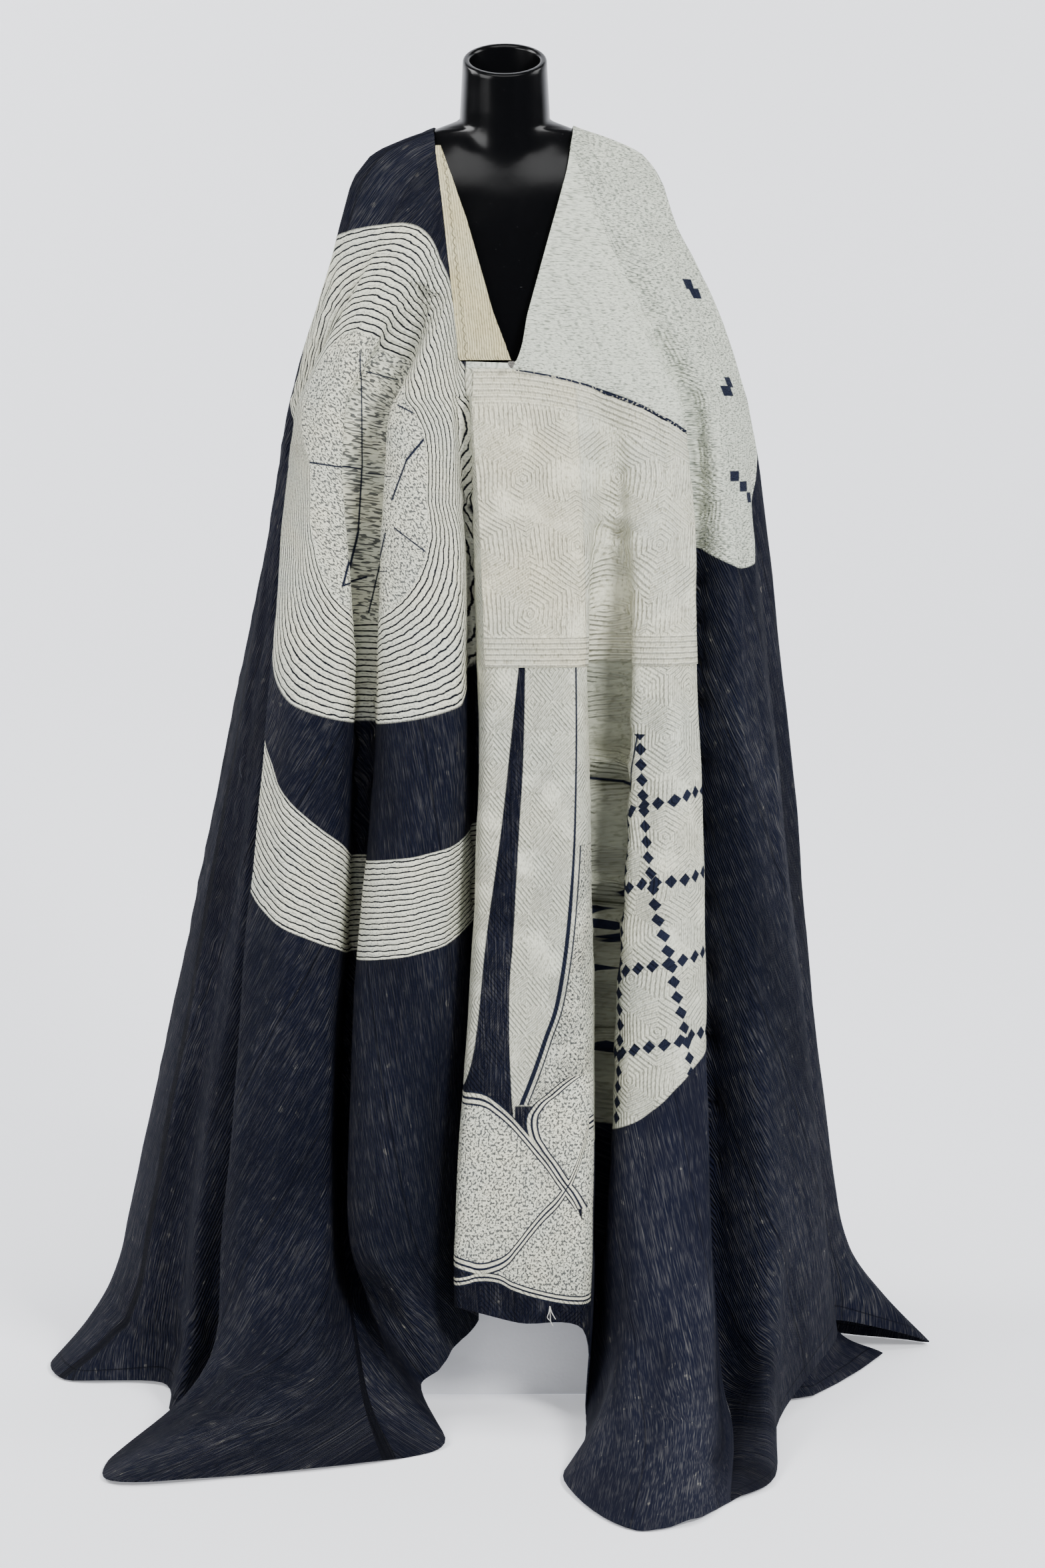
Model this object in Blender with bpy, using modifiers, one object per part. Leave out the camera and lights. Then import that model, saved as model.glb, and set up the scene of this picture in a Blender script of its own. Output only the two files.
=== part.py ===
"""Grand boubou robe on a limbless dress form with a pole and a plinth.

Metres, +Z up. The origin is on the floor under the dress form, the robe's front
faces -Y, and +X is the wearer's left. The cloth is one lofted surface: a row of
FOLDS gives the path of one fold line from the neck edge to the hem, rings pass
through all of these paths, and each sewn piece is a stretch of that surface.
"""
import math
from collections import namedtuple

import bpy
import mathutils
import numpy as np
from mathutils.bvhtree import BVHTree

# Driving sizes
CLOTH = 0.0018
PANEL_CLOTH = 0.0012
SEAM_GAP = 0.0003
LAY_GAP = 0.0012
FLOOR_GAP = 0.0003
CHEST_Z = 1.26
HIP_Z = 0.90
SHIN_Z = 0.22

# Rows of the loft: how many steps each stretch of a fold line has
TOP_STEPS = 12
STRETCH_STEPS = (4, 5, 3, 3, 2)

# Columns between neighbouring fold lines: wide stretches get one more
NARROW_STRETCH = 0.020
WIDE_STRETCH = 0.052

# The robe's outline over the shoulders, before it is folded: half widths to
# each side and depths to front and back, at heights from the chest to the collar
Section = namedtuple("Section", "z right left front back")
SECTIONS = [
    Section(1.260, 0.315, 0.275, 0.157, 0.142),
    Section(1.310, 0.300, 0.263, 0.148, 0.138),
    Section(1.372, 0.279, 0.246, 0.134, 0.133),
    Section(1.442, 0.249, 0.229, 0.118, 0.126),
    Section(1.482, 0.229, 0.222, 0.106, 0.119),
    Section(1.542, 0.215, 0.211, 0.086, 0.104),
    Section(1.575, 0.193, 0.186, 0.067, 0.089),
    Section(1.594, 0.147, 0.140, 0.048, 0.074),
    Section(1.607, 0.105, 0.098, 0.028, 0.062),
    Section(1.618, 0.072, 0.070, 0.010, 0.052),
]

# Fold lines, seen from above anticlockwise from the front middle. neck is (x, z)
# on the neck edge, chest, hip and shin are (x, y) at their heights, and foot,
# pool and hem are (x, y, z) where the cloth bends, lies and ends.
Fold = namedtuple("Fold", "name neck chest hip shin foot pool hem")
FRONT_RIGHT_FOLDS = [
    Fold("panel_middle", (0.0105, 1.304), (0.016, -0.168), (0.035, -0.240), (0.018, -0.350),
         (0.018, -0.352, 0.190), (0.018, -0.353, 0.160), (0.018, -0.354, 0.131)),
    Fold("panel_right", (0.030, 1.372), (0.078, -0.163), (0.092, -0.232), (0.097, -0.342),
         (0.097, -0.344, 0.185), (0.097, -0.345, 0.153), (0.097, -0.346, 0.121)),
    Fold("valley_3", (0.046, 1.430), (0.118, -0.149), (0.126, -0.165), (0.116, -0.219),
         (0.113, -0.262, 0.108), (0.109, -0.302, 0.056), (0.101, -0.338, 0.012)),
    Fold("ridge_4_left", (0.057, 1.470), (0.150, -0.147), (0.164, -0.200), (0.134, -0.300),
         (0.132, -0.335, 0.100), (0.124, -0.380, 0.050), (0.098, -0.430, 0.004)),
    Fold("ridge_4_crest", (0.066, 1.502), (0.186, -0.139), (0.203, -0.212), (0.172, -0.342),
         (0.152, -0.420, 0.105), (0.120, -0.520, 0.055), (0.072, -0.590, 0.004)),
    Fold("ridge_4_toe", (0.073, 1.528), (0.209, -0.128), (0.226, -0.198), (0.215, -0.345),
         (0.205, -0.450, 0.100), (0.184, -0.600, 0.052), (0.150, -0.765, 0.004)),
    Fold("ridge_4_right", (0.079, 1.551), (0.226, -0.112), (0.243, -0.172), (0.254, -0.312),
         (0.252, -0.420, 0.085), (0.244, -0.550, 0.045), (0.212, -0.738, 0.004)),
    Fold("valley_4", (0.083, 1.575), (0.234, -0.097), (0.234, -0.122), (0.262, -0.200),
         (0.272, -0.300, 0.050), (0.278, -0.430, 0.020), (0.262, -0.660, 0.004)),
    Fold("ridge_5", (0.085, 1.589), (0.262, -0.095), (0.295, -0.152), (0.328, -0.250),
         (0.322, -0.320, 0.090), (0.316, -0.420, 0.050), (0.312, -0.595, 0.004)),
    Fold("sleeve_corner", (0.0865, 1.597), (0.284, -0.070), (0.322, -0.120), (0.366, -0.205),
         (0.352, -0.258, 0.110), (0.346, -0.305, 0.060), (0.338, -0.360, 0.012)),
    Fold("ridge_5_right", (0.087, 1.602), (0.299, -0.045), (0.338, -0.080), (0.410, -0.135),
         (0.417, -0.145, 0.125), (0.421, -0.150, 0.088), (0.425, -0.155, 0.054)),
    Fold("valley_5", (0.0875, 1.606), (0.304, -0.018), (0.337, -0.018), (0.410, -0.030),
         (0.423, -0.035, 0.125), (0.430, -0.038, 0.088), (0.436, -0.040, 0.052)),
    Fold("right_side", (0.088, 1.610), (0.315, 0.014), (0.364, 0.035), (0.438, 0.050),
         (0.462, 0.042, 0.130), (0.508, 0.038, 0.068), (0.569, 0.030, 0.004)),
]
FRONT_LEFT_FOLDS = [
    Fold("left_side", (-0.0915, 1.606), (-0.275, 0.010), (-0.345, 0.025), (-0.488, 0.030),
         (-0.515, 0.020, 0.110), (-0.548, 0.000, 0.052), (-0.588, -0.030, 0.004)),
    Fold("left_layer", (-0.091, 1.602), (-0.273, -0.020), (-0.333, -0.052), (-0.454, -0.100),
         (-0.482, -0.115, 0.090), (-0.516, -0.128, 0.045), (-0.570, -0.150, 0.004)),
    Fold("left_soft", (-0.090, 1.597), (-0.269, -0.037), (-0.313, -0.082), (-0.410, -0.128),
         (-0.424, -0.140, 0.075), (-0.431, -0.152, 0.038), (-0.441, -0.170, 0.004)),
    Fold("left_fold", (-0.0895, 1.591), (-0.263, -0.050), (-0.298, -0.104), (-0.388, -0.192),
         (-0.398, -0.232, 0.080), (-0.404, -0.266, 0.042), (-0.410, -0.310, 0.004)),
    Fold("left_valley", (-0.0885, 1.582), (-0.256, -0.060), (-0.280, -0.118), (-0.346, -0.198),
         (-0.362, -0.222, 0.060), (-0.367, -0.234, 0.030), (-0.370, -0.248, 0.004)),
    Fold("ridge_1_under", (-0.0878, 1.575), (-0.260, -0.072), (-0.289, -0.146), (-0.350, -0.240),
         (-0.355, -0.285, 0.070), (-0.364, -0.335, 0.032), (-0.374, -0.372, 0.004)),
    Fold("ridge_1_left", (-0.087, 1.566), (-0.262, -0.082), (-0.295, -0.165), (-0.352, -0.270),
         (-0.357, -0.315, 0.100), (-0.388, -0.388, 0.050), (-0.464, -0.478, 0.004)),
    Fold("ridge_1_crest", (-0.083, 1.540), (-0.231, -0.122), (-0.250, -0.208), (-0.292, -0.316),
         (-0.305, -0.375, 0.105), (-0.352, -0.462, 0.055), (-0.458, -0.590, 0.004)),
    Fold("ridge_1_right", (-0.079, 1.505), (-0.197, -0.136), (-0.201, -0.198), (-0.226, -0.300),
         (-0.230, -0.378, 0.105), (-0.250, -0.480, 0.060), (-0.300, -0.562, 0.004)),
    Fold("valley_1_left", (-0.075, 1.470), (-0.177, -0.126), (-0.179, -0.138), (-0.206, -0.180),
         (-0.178, -0.335, 0.090), (-0.158, -0.430, 0.045), (-0.128, -0.495, 0.004)),
    Fold("valley_1_right", (-0.072, 1.445), (-0.165, -0.128), (-0.167, -0.140), (-0.188, -0.182),
         (-0.146, -0.345, 0.078), (-0.108, -0.405, 0.040), (-0.072, -0.440, 0.004)),
    Fold("ridge_2_left", (-0.069, 1.418), (-0.137, -0.156), (-0.150, -0.218), (-0.188, -0.310),
         (-0.160, -0.302, 0.150), (-0.130, -0.332, 0.098), (-0.104, -0.345, 0.050)),
    Fold("ridge_2_crest", (-0.064, 1.375), (-0.101, -0.167), (-0.105, -0.242), (-0.138, -0.348),
         (-0.118, -0.338, 0.158), (-0.098, -0.336, 0.112), (-0.080, -0.328, 0.066)),
    Fold("ridge_2_right", (-0.060, 1.335), (-0.069, -0.165), (-0.059, -0.230), (-0.094, -0.312),
         (-0.082, -0.304, 0.165), (-0.071, -0.298, 0.125), (-0.061, -0.290, 0.085)),
    Fold("valley_2", (-0.056, 1.309), (-0.053, -0.154), (-0.038, -0.160), (-0.033, -0.235),
         (-0.033, -0.240, 0.180), (-0.033, -0.243, 0.142), (-0.033, -0.246, 0.106)),
    Fold("panel_left", (-0.038, 1.305), (-0.039, -0.163), (-0.022, -0.232), (-0.059, -0.343),
         (-0.0595, -0.345, 0.200), (-0.060, -0.347, 0.175), (-0.060, -0.349, 0.150)),
]

# The back, which hangs in plain folds. angle is in degrees from the wearer's left
# round to the right, reach is the share of the back's full depth that a fold
# line keeps at hip and shin, and drop is the height of its hem.
BackFold = namedtuple("BackFold", "name angle reach_hip reach_shin spread drop")
BACK_FOLDS = [
    BackFold("back_valley_1", 22, 0.86, 0.80, 0.05, 0.004),
    BackFold("back_ridge_1", 38, 1.00, 1.02, 0.16, 0.004),
    BackFold("back_valley_2", 52, 0.78, 0.70, 0.10, 0.004),
    BackFold("back_ridge_2", 66, 1.00, 0.98, 0.06, 0.030),
    BackFold("back_valley_3", 78, 0.76, 0.66, 0.01, 0.070),
    BackFold("back_ridge_3", 92, 1.00, 0.97, 0.00, 0.095),
    BackFold("back_valley_4", 104, 0.78, 0.68, 0.01, 0.075),
    BackFold("back_ridge_4", 117, 1.00, 1.00, 0.05, 0.035),
    BackFold("back_valley_5", 130, 0.80, 0.70, 0.09, 0.004),
    BackFold("back_ridge_5", 144, 1.00, 1.02, 0.17, 0.004),
    BackFold("back_valley_6", 159, 0.84, 0.80, 0.06, 0.004),
]
BACK_HALF_WIDTH = {"hip": 0.350, "shin": 0.450}
BACK_DEPTH = {"hip": 0.245, "shin": 0.380}
NECK_BACK_DROP = 0.012


def section_at(z):
    """Half widths and depths of the unfolded outline at height z."""
    heights = [s.z for s in SECTIONS]
    return {side: float(np.interp(z, heights, [getattr(s, side) for s in SECTIONS]))
            for side in ("right", "left", "front", "back")}


def outline_point(x, z, back=False):
    """The point of the unfolded outline at this x and height, in front or behind."""
    size = section_at(z)
    half = size["right"] if x >= 0 else size["left"]
    share = min(abs(x) / half, 1.0)
    depth = math.sqrt(1.0 - share * share)
    y = size["back"] * depth if back else -size["front"] * depth
    return np.array([x, y, z])


def back_fold_rows():
    """The back's fold lines as rows of the same kind as the front's."""
    rows = []
    for fold in BACK_FOLDS:
        turn = math.radians(fold.angle)
        size = section_at(CHEST_Z)
        half = size["right"] if turn < math.pi / 2 else size["left"]
        chest = (half * math.cos(turn), size["back"] * math.sin(turn))
        spots = {}
        for level, reach in (("hip", fold.reach_hip), ("shin", fold.reach_shin)):
            spots[level] = (BACK_HALF_WIDTH[level] * math.cos(turn) * reach,
                            BACK_DEPTH[level] * math.sin(turn) * reach)
        shin = spots["shin"]
        away = (math.cos(turn), math.sin(turn))
        foot, pool, hem = [
            (shin[0] + away[0] * share * fold.spread, shin[1] + away[1] * share * fold.spread,
             fold.drop + rise)
            for share, rise in ((0.25, 0.080), (0.60, 0.036), (1.0, 0.0))]
        neck = (0.088 * math.cos(turn), 1.610 - NECK_BACK_DROP * math.sin(turn))
        rows.append(Fold(fold.name, neck, chest, spots["hip"], shin, foot, pool, hem))
    return rows


FOLDS = FRONT_RIGHT_FOLDS + back_fold_rows() + FRONT_LEFT_FOLDS
FOLD_INDEX = {fold.name: number for number, fold in enumerate(FOLDS)}
BACK_NAMES = {fold.name for fold in BACK_FOLDS}


def curve_through(points, params):
    """A smooth curve through points, read at params counted in points."""
    points = np.asarray(points, float)
    gaps = np.sqrt(np.linalg.norm(np.diff(points, axis=0), axis=1)) + 1e-9
    knots = np.concatenate([[0.0], np.cumsum(gaps)])
    slopes = np.diff(points, axis=0) / gaps[:, None]
    tangents = np.empty_like(points)
    tangents[0] = slopes[0]
    tangents[-1] = slopes[-1]
    weight = gaps[1:] / (gaps[:-1] + gaps[1:])
    tangents[1:-1] = weight[:, None] * slopes[:-1] + (1 - weight)[:, None] * slopes[1:]
    params = np.asarray(params, float)
    start = np.clip(params.astype(int), 0, len(points) - 2)
    share = (params - start)[:, None]
    width = gaps[start][:, None]
    s2, s3 = share ** 2, share ** 3
    return ((2 * s3 - 3 * s2 + 1) * points[start] + (s3 - 2 * s2 + share) * width * tangents[start]
            + (3 * s2 - 2 * s3) * points[start + 1] + (s3 - s2) * width * tangents[start + 1])


def top_path(fold, samples=40):
    """A fold line from the neck edge to the chest, over the unfolded outline."""
    back = fold.name in BACK_NAMES
    chest_size = section_at(CHEST_Z)
    neck_size = section_at(fold.neck[1])

    def share_of(x, size):
        return max(-1.0, min(1.0, x / (size["right"] if x >= 0 else size["left"])))

    start, end = share_of(fold.neck[0], neck_size), share_of(fold.chest[0], chest_size)
    turn_start, turn_end = math.acos(start), math.acos(end)
    flat_end = outline_point(fold.chest[0], CHEST_Z, back)
    offset = np.array([fold.chest[0], fold.chest[1], CHEST_Z]) - flat_end
    points = []
    for step in range(samples + 1):
        share = step / samples
        z = fold.neck[1] + (CHEST_Z - fold.neck[1]) * share ** 1.6
        fall = (fold.neck[1] - z) / (fold.neck[1] - CHEST_Z)
        turn = turn_start + (turn_end - turn_start) * fall
        size = section_at(z)
        half = size["right"] if math.cos(turn) >= 0 else size["left"]
        depth = size["back"] if back else -size["front"]
        flat = np.array([half * math.cos(turn), depth * math.sin(turn), z])
        points.append(flat + offset * fall ** 1.5)
    return np.array(points)


def along(points, count):
    """The path read again at count even steps of its length."""
    lengths = np.concatenate([[0.0], np.cumsum(np.linalg.norm(np.diff(points, axis=0), axis=1))])
    wanted = np.linspace(0.0, lengths[-1], count)
    return np.column_stack([np.interp(wanted, lengths, points[:, axis]) for axis in range(3)])


ROBE_START = "back_valley_6"
FINE = 24


def fold_line(fold):
    """A fold line from neck to hem, FINE samples for each of its six stretches."""
    top = along(top_path(fold), FINE + 1)
    stations = [top[-4],
                (*fold.chest, CHEST_Z), (*fold.hip, HIP_Z), (*fold.shin, SHIN_Z),
                fold.foot, fold.pool, fold.hem]
    params = 1 + np.arange(0, 5 * FINE + 1) / FINE
    low = curve_through(stations, params)
    return np.vstack([top[:-1], low])


LINES = np.array([fold_line(fold) for fold in FOLDS])
LINES[:, :, 2] = np.maximum(LINES[:, :, 2], CLOTH / 2 + FLOOR_GAP)


def ring_at(v):
    """The turn points of all fold lines at row v, from 0 at the neck to 6 at the hem."""
    place = min(max(v, 0.0), 6.0) * FINE
    low = min(int(place), 6 * FINE - 1)
    share = place - low
    return LINES[:, low] * (1 - share) + LINES[:, low + 1] * share


def ring_points(v, columns):
    """Points of the ring at row v, at columns counted in fold lines."""
    turns = ring_at(v)
    count = len(turns)
    wrapped = np.vstack([turns[-2:], turns, turns[:3]])
    return curve_through(wrapped, np.mod(columns, count) + 2)


def surface(columns, rows):
    """Grid of points of the robe, rows by columns; rows may be one row per column."""
    grid = np.empty((len(rows), len(columns), 3))
    for number, row in enumerate(rows):
        grid[number] = ring_points(row, columns)
    return grid


def column_range(first, last):
    """Columns from one fold line to another, the way the table runs."""
    start, end = FOLD_INDEX[first], FOLD_INDEX[last]
    if end <= start:
        end += len(FOLDS)
    columns = [float(start)]
    for number in range(start, end):
        here, after = FOLDS[number % len(FOLDS)].hip, FOLDS[(number + 1) % len(FOLDS)].hip
        width = math.dist(here, after)
        steps = 1 if width < NARROW_STRETCH else 2 if width < WIDE_STRETCH else 3
        columns += [number + step / steps for step in range(1, steps + 1)]
    return np.array(columns)


def row_list():
    """The rows of the loft from neck to hem."""
    rows = list(np.linspace(0.0, 1.0, TOP_STEPS + 1))
    for stretch, steps in enumerate(STRETCH_STEPS, start=1):
        rows += [stretch + step / steps for step in range(1, steps + 1)]
    return rows


def grid_normals(grid, round_trip=True):
    """Unit normals of a grid of points, pointing out; round_trip joins its two side edges."""
    rising = grid[1:, 1:] - grid[:-1, :-1]
    falling = grid[1:, :-1] - grid[:-1, 1:]
    cells = np.cross(falling, rising)
    cells /= np.linalg.norm(cells, axis=2)[:, :, None] + 1e-12
    total = np.zeros(grid.shape)
    for rows in (slice(None, -1), slice(1, None)):
        for columns in (slice(None, -1), slice(1, None)):
            total[rows, columns] += cells
    if round_trip:
        total[:, 0] += total[:, -1]
        total[:, -1] = total[:, 0]
    return total / (np.linalg.norm(total, axis=2)[:, :, None] + 1e-12)


# The dress form: half width and depths of its torso, from the base to the neck
FormSection = namedtuple("FormSection", "z half front back")
FORM_SECTIONS = [
    FormSection(0.820, 0.150, 0.100, 0.112),
    FormSection(0.900, 0.158, 0.104, 0.118),
    FormSection(1.050, 0.134, 0.092, 0.095),
    FormSection(1.200, 0.148, 0.112, 0.102),
    FormSection(1.310, 0.160, 0.128, 0.112),
    FormSection(1.400, 0.176, 0.118, 0.118),
    FormSection(1.480, 0.184, 0.098, 0.110),
    FormSection(1.535, 0.191, 0.079, 0.096),
    FormSection(1.566, 0.176, 0.062, 0.083),
    FormSection(1.589, 0.134, 0.043, 0.069),
    FormSection(1.605, 0.094, 0.025, 0.058),
    FormSection(1.616, 0.060, 0.008, 0.046),
]
SHOULDER_LOW_Z = 1.480
SHOULDER_TOP_Z = 1.622
NECK_BASE_Z = 1.560
NECK_TOP_Z = 1.696
NECK_BASE_RADIUS = 0.0615
NECK_TOP_RADIUS = 0.0540
NECK_SLANT = 0.48
NECK_WALL = 0.009
NECK_HOLLOW_FLOOR = 1.585
NECK_BLEND = 0.012
FORM_SIDES = 44
TORSO_ROWS = 9
SHOULDER_ROWS = 13
NECK_ROWS = 3
FORM_CLEAR = 0.0006
PUSH_ROUNDS = 8


def torso_size(z):
    """Half width, front and back depth of the torso at height z, zero above it."""
    heights = [s.z for s in FORM_SECTIONS]
    if z > heights[-1]:
        return 1e-4, 1e-4, 1e-4
    return tuple(float(np.interp(z, heights, [getattr(s, part) for s in FORM_SECTIONS]))
                 for part in ("half", "front", "back"))


def torso_radius(turn, z):
    """Distance from the form's axis to the torso's side at this angle and height."""
    half, front, back = torso_size(z)
    depth = back if math.sin(turn) > 0 else front
    return 1.0 / math.hypot(math.cos(turn) / half, math.sin(turn) / depth)


def neck_radius(z):
    share = min(max((z - NECK_BASE_Z) / (NECK_TOP_Z - NECK_BASE_Z), 0.0), 1.0)
    return NECK_BASE_RADIUS + (NECK_TOP_RADIUS - NECK_BASE_RADIUS) * share


def form_radius(turn, z):
    """The form's outer radius: torso and neck run into each other with a soft fillet."""
    torso = torso_radius(turn, z)
    if z < NECK_BASE_Z - 0.03:
        return torso
    neck = neck_radius(z)
    near = max(NECK_BLEND - abs(torso - neck), 0.0) / NECK_BLEND
    return max(torso, neck) + near * near * NECK_BLEND / 4.0


def clear_of_form(points, normals, room, form_tree):
    """Points moved out until they and the middles of their faces lie room off the form."""
    moved = points.copy()

    def lack(point):
        near, facing, _, _ = form_tree.find_nearest(mathutils.Vector(point))
        gap = (mathutils.Vector(point) - near).dot(facing)
        return room - gap

    for _ in range(PUSH_ROUNDS):
        pushed = np.zeros(points.shape[:2])
        for row in range(points.shape[0] - 1):
            if moved[row, :, 2].max() < FORM_SECTIONS[0].z - 0.02:
                break
            for column in range(points.shape[1] - 1):
                corners = moved[row:row + 2, column:column + 2].reshape(-1, 3)
                for spot in (corners.mean(axis=0), corners[:2].mean(axis=0), corners[::2].mean(axis=0)):
                    short = max(lack(spot), 0.0)
                    block = pushed[row:row + 2, column:column + 2]
                    pushed[row:row + 2, column:column + 2] = np.maximum(block, short)
                pushed[row, column] = max(pushed[row, column], lack(moved[row, column]))
        if pushed.max() < 1e-5:
            break
        moved += normals * pushed[:, :, None]
    return moved


def mesh_object(name, verts, faces, material, collection):
    mesh = bpy.data.meshes.new(name)
    mesh.from_pydata([tuple(v) for v in verts], [], faces)
    mesh.validate()
    mesh.shade_smooth()
    mesh.set_sharp_from_angle(angle=math.radians(50))
    obj = bpy.data.objects.new(name, mesh)
    mesh.materials.append(material)
    collection.objects.link(obj)
    return obj


def wall_mesh(grid, normals, thickness):
    """Closed wall round a grid of middle points: outer face, inner face and rim."""
    rows, columns = grid.shape[:2]
    outer = (grid + normals * thickness / 2).reshape(-1, 3)
    inner = (grid - normals * thickness / 2).reshape(-1, 3)
    back = rows * columns

    def spot(row, column):
        return row * columns + column

    faces = []
    for row in range(rows - 1):
        for column in range(columns - 1):
            a, b = spot(row, column), spot(row, column + 1)
            c, d = spot(row + 1, column + 1), spot(row + 1, column)
            faces += [(a, d, c), (a, c, b)]
            faces += [(a + back, c + back, d + back), (a + back, b + back, c + back)]
    for row in range(rows - 1):
        for column, flip in ((0, False), (columns - 1, True)):
            a, d = spot(row, column), spot(row + 1, column)
            rim = (a, a + back, d + back, d)
            faces.append(rim[::-1] if flip else rim)
    for column in range(columns - 1):
        for row, flip in ((0, True), (rows - 1, False)):
            a, b = spot(row, column), spot(row, column + 1)
            rim = (a, a + back, b + back, b)
            faces.append(rim[::-1] if flip else rim)
    return np.vstack([outer, inner]), faces


def pull_in_edges(grid, gap):
    """The grid with its first and last columns drawn in by gap along the cloth."""
    drawn = grid.copy()
    for edge, inside in ((0, 1), (-1, -2)):
        way = grid[:, inside] - grid[:, edge]
        length = np.linalg.norm(way, axis=1)[:, None] + 1e-9
        drawn[:, edge] += way / length * np.minimum(gap, length * 0.4)
    return drawn


def cloth_grid(form_tree):
    """Columns, middle points and normals of the whole robe, once round from ROBE_START."""
    columns = column_range(ROBE_START, ROBE_START)
    rows = row_list()
    grid = surface(columns, rows)
    grid = clear_of_form(grid, grid_normals(grid), CLOTH / 2 + FORM_CLEAR, form_tree)
    grid[:, :, 2] = np.maximum(grid[:, :, 2], CLOTH / 2 + FLOOR_GAP)
    grid[:, 0] = (grid[:, 0] + grid[:, -1]) / 2
    grid[:, -1] = grid[:, 0]
    return columns, grid, grid_normals(grid)


def stretch_of(columns, first, last):
    """The slice of the robe's columns from fold line first to fold line last."""
    count = len(FOLDS)
    start = (FOLD_INDEX[first] - columns[0]) % count + columns[0]
    end = (FOLD_INDEX[last] - columns[0] - 1e-9) % count + columns[0]
    low = int(np.argmin(np.abs(columns - start)))
    high = int(np.argmin(np.abs(columns - end)))
    return slice(low, high + 1)


def cloth_piece(name, first, last, robe, material, collection):
    """One sewn piece of the robe, from fold line first round to fold line last."""
    columns, grid, normals = robe
    part = stretch_of(columns, first, last)
    middle = pull_in_edges(grid[:, part], SEAM_GAP / 2)
    verts, faces = wall_mesh(middle, normals[:, part], CLOTH)
    return mesh_object(name, verts, faces, material, collection)


# The breast pocket: its mouth falls in a bow from the neck's point to the sleeve,
# and its straight foot is at one height
POCKET_FIRST = "panel_left"
POCKET_LAST = "ridge_4_right"
POCKET_TOP_Z = 1.298
POCKET_TOP_BOW = 1.55
POCKET_TOP_FALL = 0.03
POCKET_FOOT_Z = 0.930
POCKET_ROW_SKIP = 3
POCKET_ROW_STEP = 0.002


def pocket_panel(robe, material, collection):
    """The pocket, laid on the front's own points and cut to its mouth and foot."""
    columns, grid, normals = robe
    part = stretch_of(columns, POCKET_FIRST, POCKET_LAST)
    base, facing = grid[:, part], normals[:, part]
    heights = base[:, :, 2]
    tops = POCKET_TOP_Z - POCKET_TOP_BOW * np.maximum(base[TOP_STEPS, :, 0] - 0.01, 0) ** 2
    tops -= POCKET_TOP_FALL * np.maximum(base[TOP_STEPS, :, 0], 0)
    rows = [row for row in range(len(base)) if row % POCKET_ROW_SKIP == 0 or row > TOP_STEPS]
    rows = [row for row in rows if POCKET_FOOT_Z + 0.01 < heights[row].min()]
    layers = []
    for column in range(base.shape[1]):
        down = heights[::-1, column]
        points = []
        for number, row in enumerate(rows):
            z = min(heights[row, column], tops[column] - POCKET_ROW_STEP * number)
            points.append(z)
        points.append(POCKET_FOOT_Z)
        layers.append([np.array([np.interp(z, down, values[::-1, column, axis])
                                 for values in (base, facing) for axis in range(3)])
                       for z in points])
    block = np.array(layers).transpose(1, 0, 2)
    outward = block[:, :, 3:] / np.linalg.norm(block[:, :, 3:], axis=2)[:, :, None]
    middle = block[:, :, :3] + outward * (CLOTH / 2 + LAY_GAP + PANEL_CLOTH / 2)
    verts, faces = wall_mesh(middle, outward, PANEL_CLOTH)
    return mesh_object("pocket_panel", verts, faces, material, collection)


# The ribbed facing between the front's neck edge and the open V, as (x, z) down its
# inner edge
FACING_INNER_EDGE = [(-0.0895, 1.608), (-0.083, 1.587), (-0.048, 1.488), (-0.014, 1.369), (0.0095, 1.3065)]
FACING_LAST = "left_valley"
FACING_COLUMNS = 4
FACING_FOOT_GAP = 0.0012


def neck_facing(robe, material, collection):
    """A band that fills the corner between the front's edge and the neck opening."""
    columns, grid, normals = robe
    edge = stretch_of(columns, FACING_LAST, "valley_2")
    inner_z = [z for _, z in FACING_INNER_EDGE[::-1]]
    inner_x = [x for x, _ in FACING_INNER_EDGE[::-1]]
    rows = []
    facings = []
    for point, facing in zip(grid[0, edge], normals[0, edge]):
        x_end = float(np.interp(point[2], inner_z, inner_x))
        last_z = max(point[2], FACING_INNER_EDGE[-1][1])
        end = outline_point(x_end, last_z)
        width = np.linalg.norm(end - point)
        start = point + (end - point) / width * SEAM_GAP
        row = []
        for step in range(FACING_COLUMNS + 1):
            share = step / FACING_COLUMNS
            spot = start * (1 - share) + end * share
            flat = outline_point(spot[0], spot[2])
            row.append(np.array([spot[0], spot[1] * (1 - share) + flat[1] * share, spot[2]]))
        rows.append(row)
        facings.append([facing] * (FACING_COLUMNS + 1))
    middle, outward = np.array(rows), np.array(facings)
    middle[-1, :, 2] += FACING_FOOT_GAP
    verts, faces = wall_mesh(middle, outward, CLOTH)
    return mesh_object("neck_facing", verts, faces, material, collection)


# The back's corner under the open left sleeve: its (x, y, z) at pool and hem under
# each fold line, and the rows of the loft that it follows, sewn to the sleeve along
# the first of them and UNDER_IN inside it on the others
UnderFold = namedtuple("UnderFold", "name pool hem")
UNDER_FOLDS = [
    UnderFold("sleeve_corner", (0.318, -0.262, 0.040), (0.322, -0.270, 0.004)),
    UnderFold("ridge_5_right", (0.396, -0.172, 0.032), (0.392, -0.228, 0.004)),
    UnderFold("valley_5", (0.424, -0.080, 0.030), (0.452, -0.128, 0.004)),
    UnderFold("right_side", (0.440, 0.000, 0.030), (0.500, -0.030, 0.004)),
]
UNDER_IN = 0.012
UNDER_ROWS = (17, 18, 19, 20, 21)
UNDER_LOW_ROWS = 4


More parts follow.
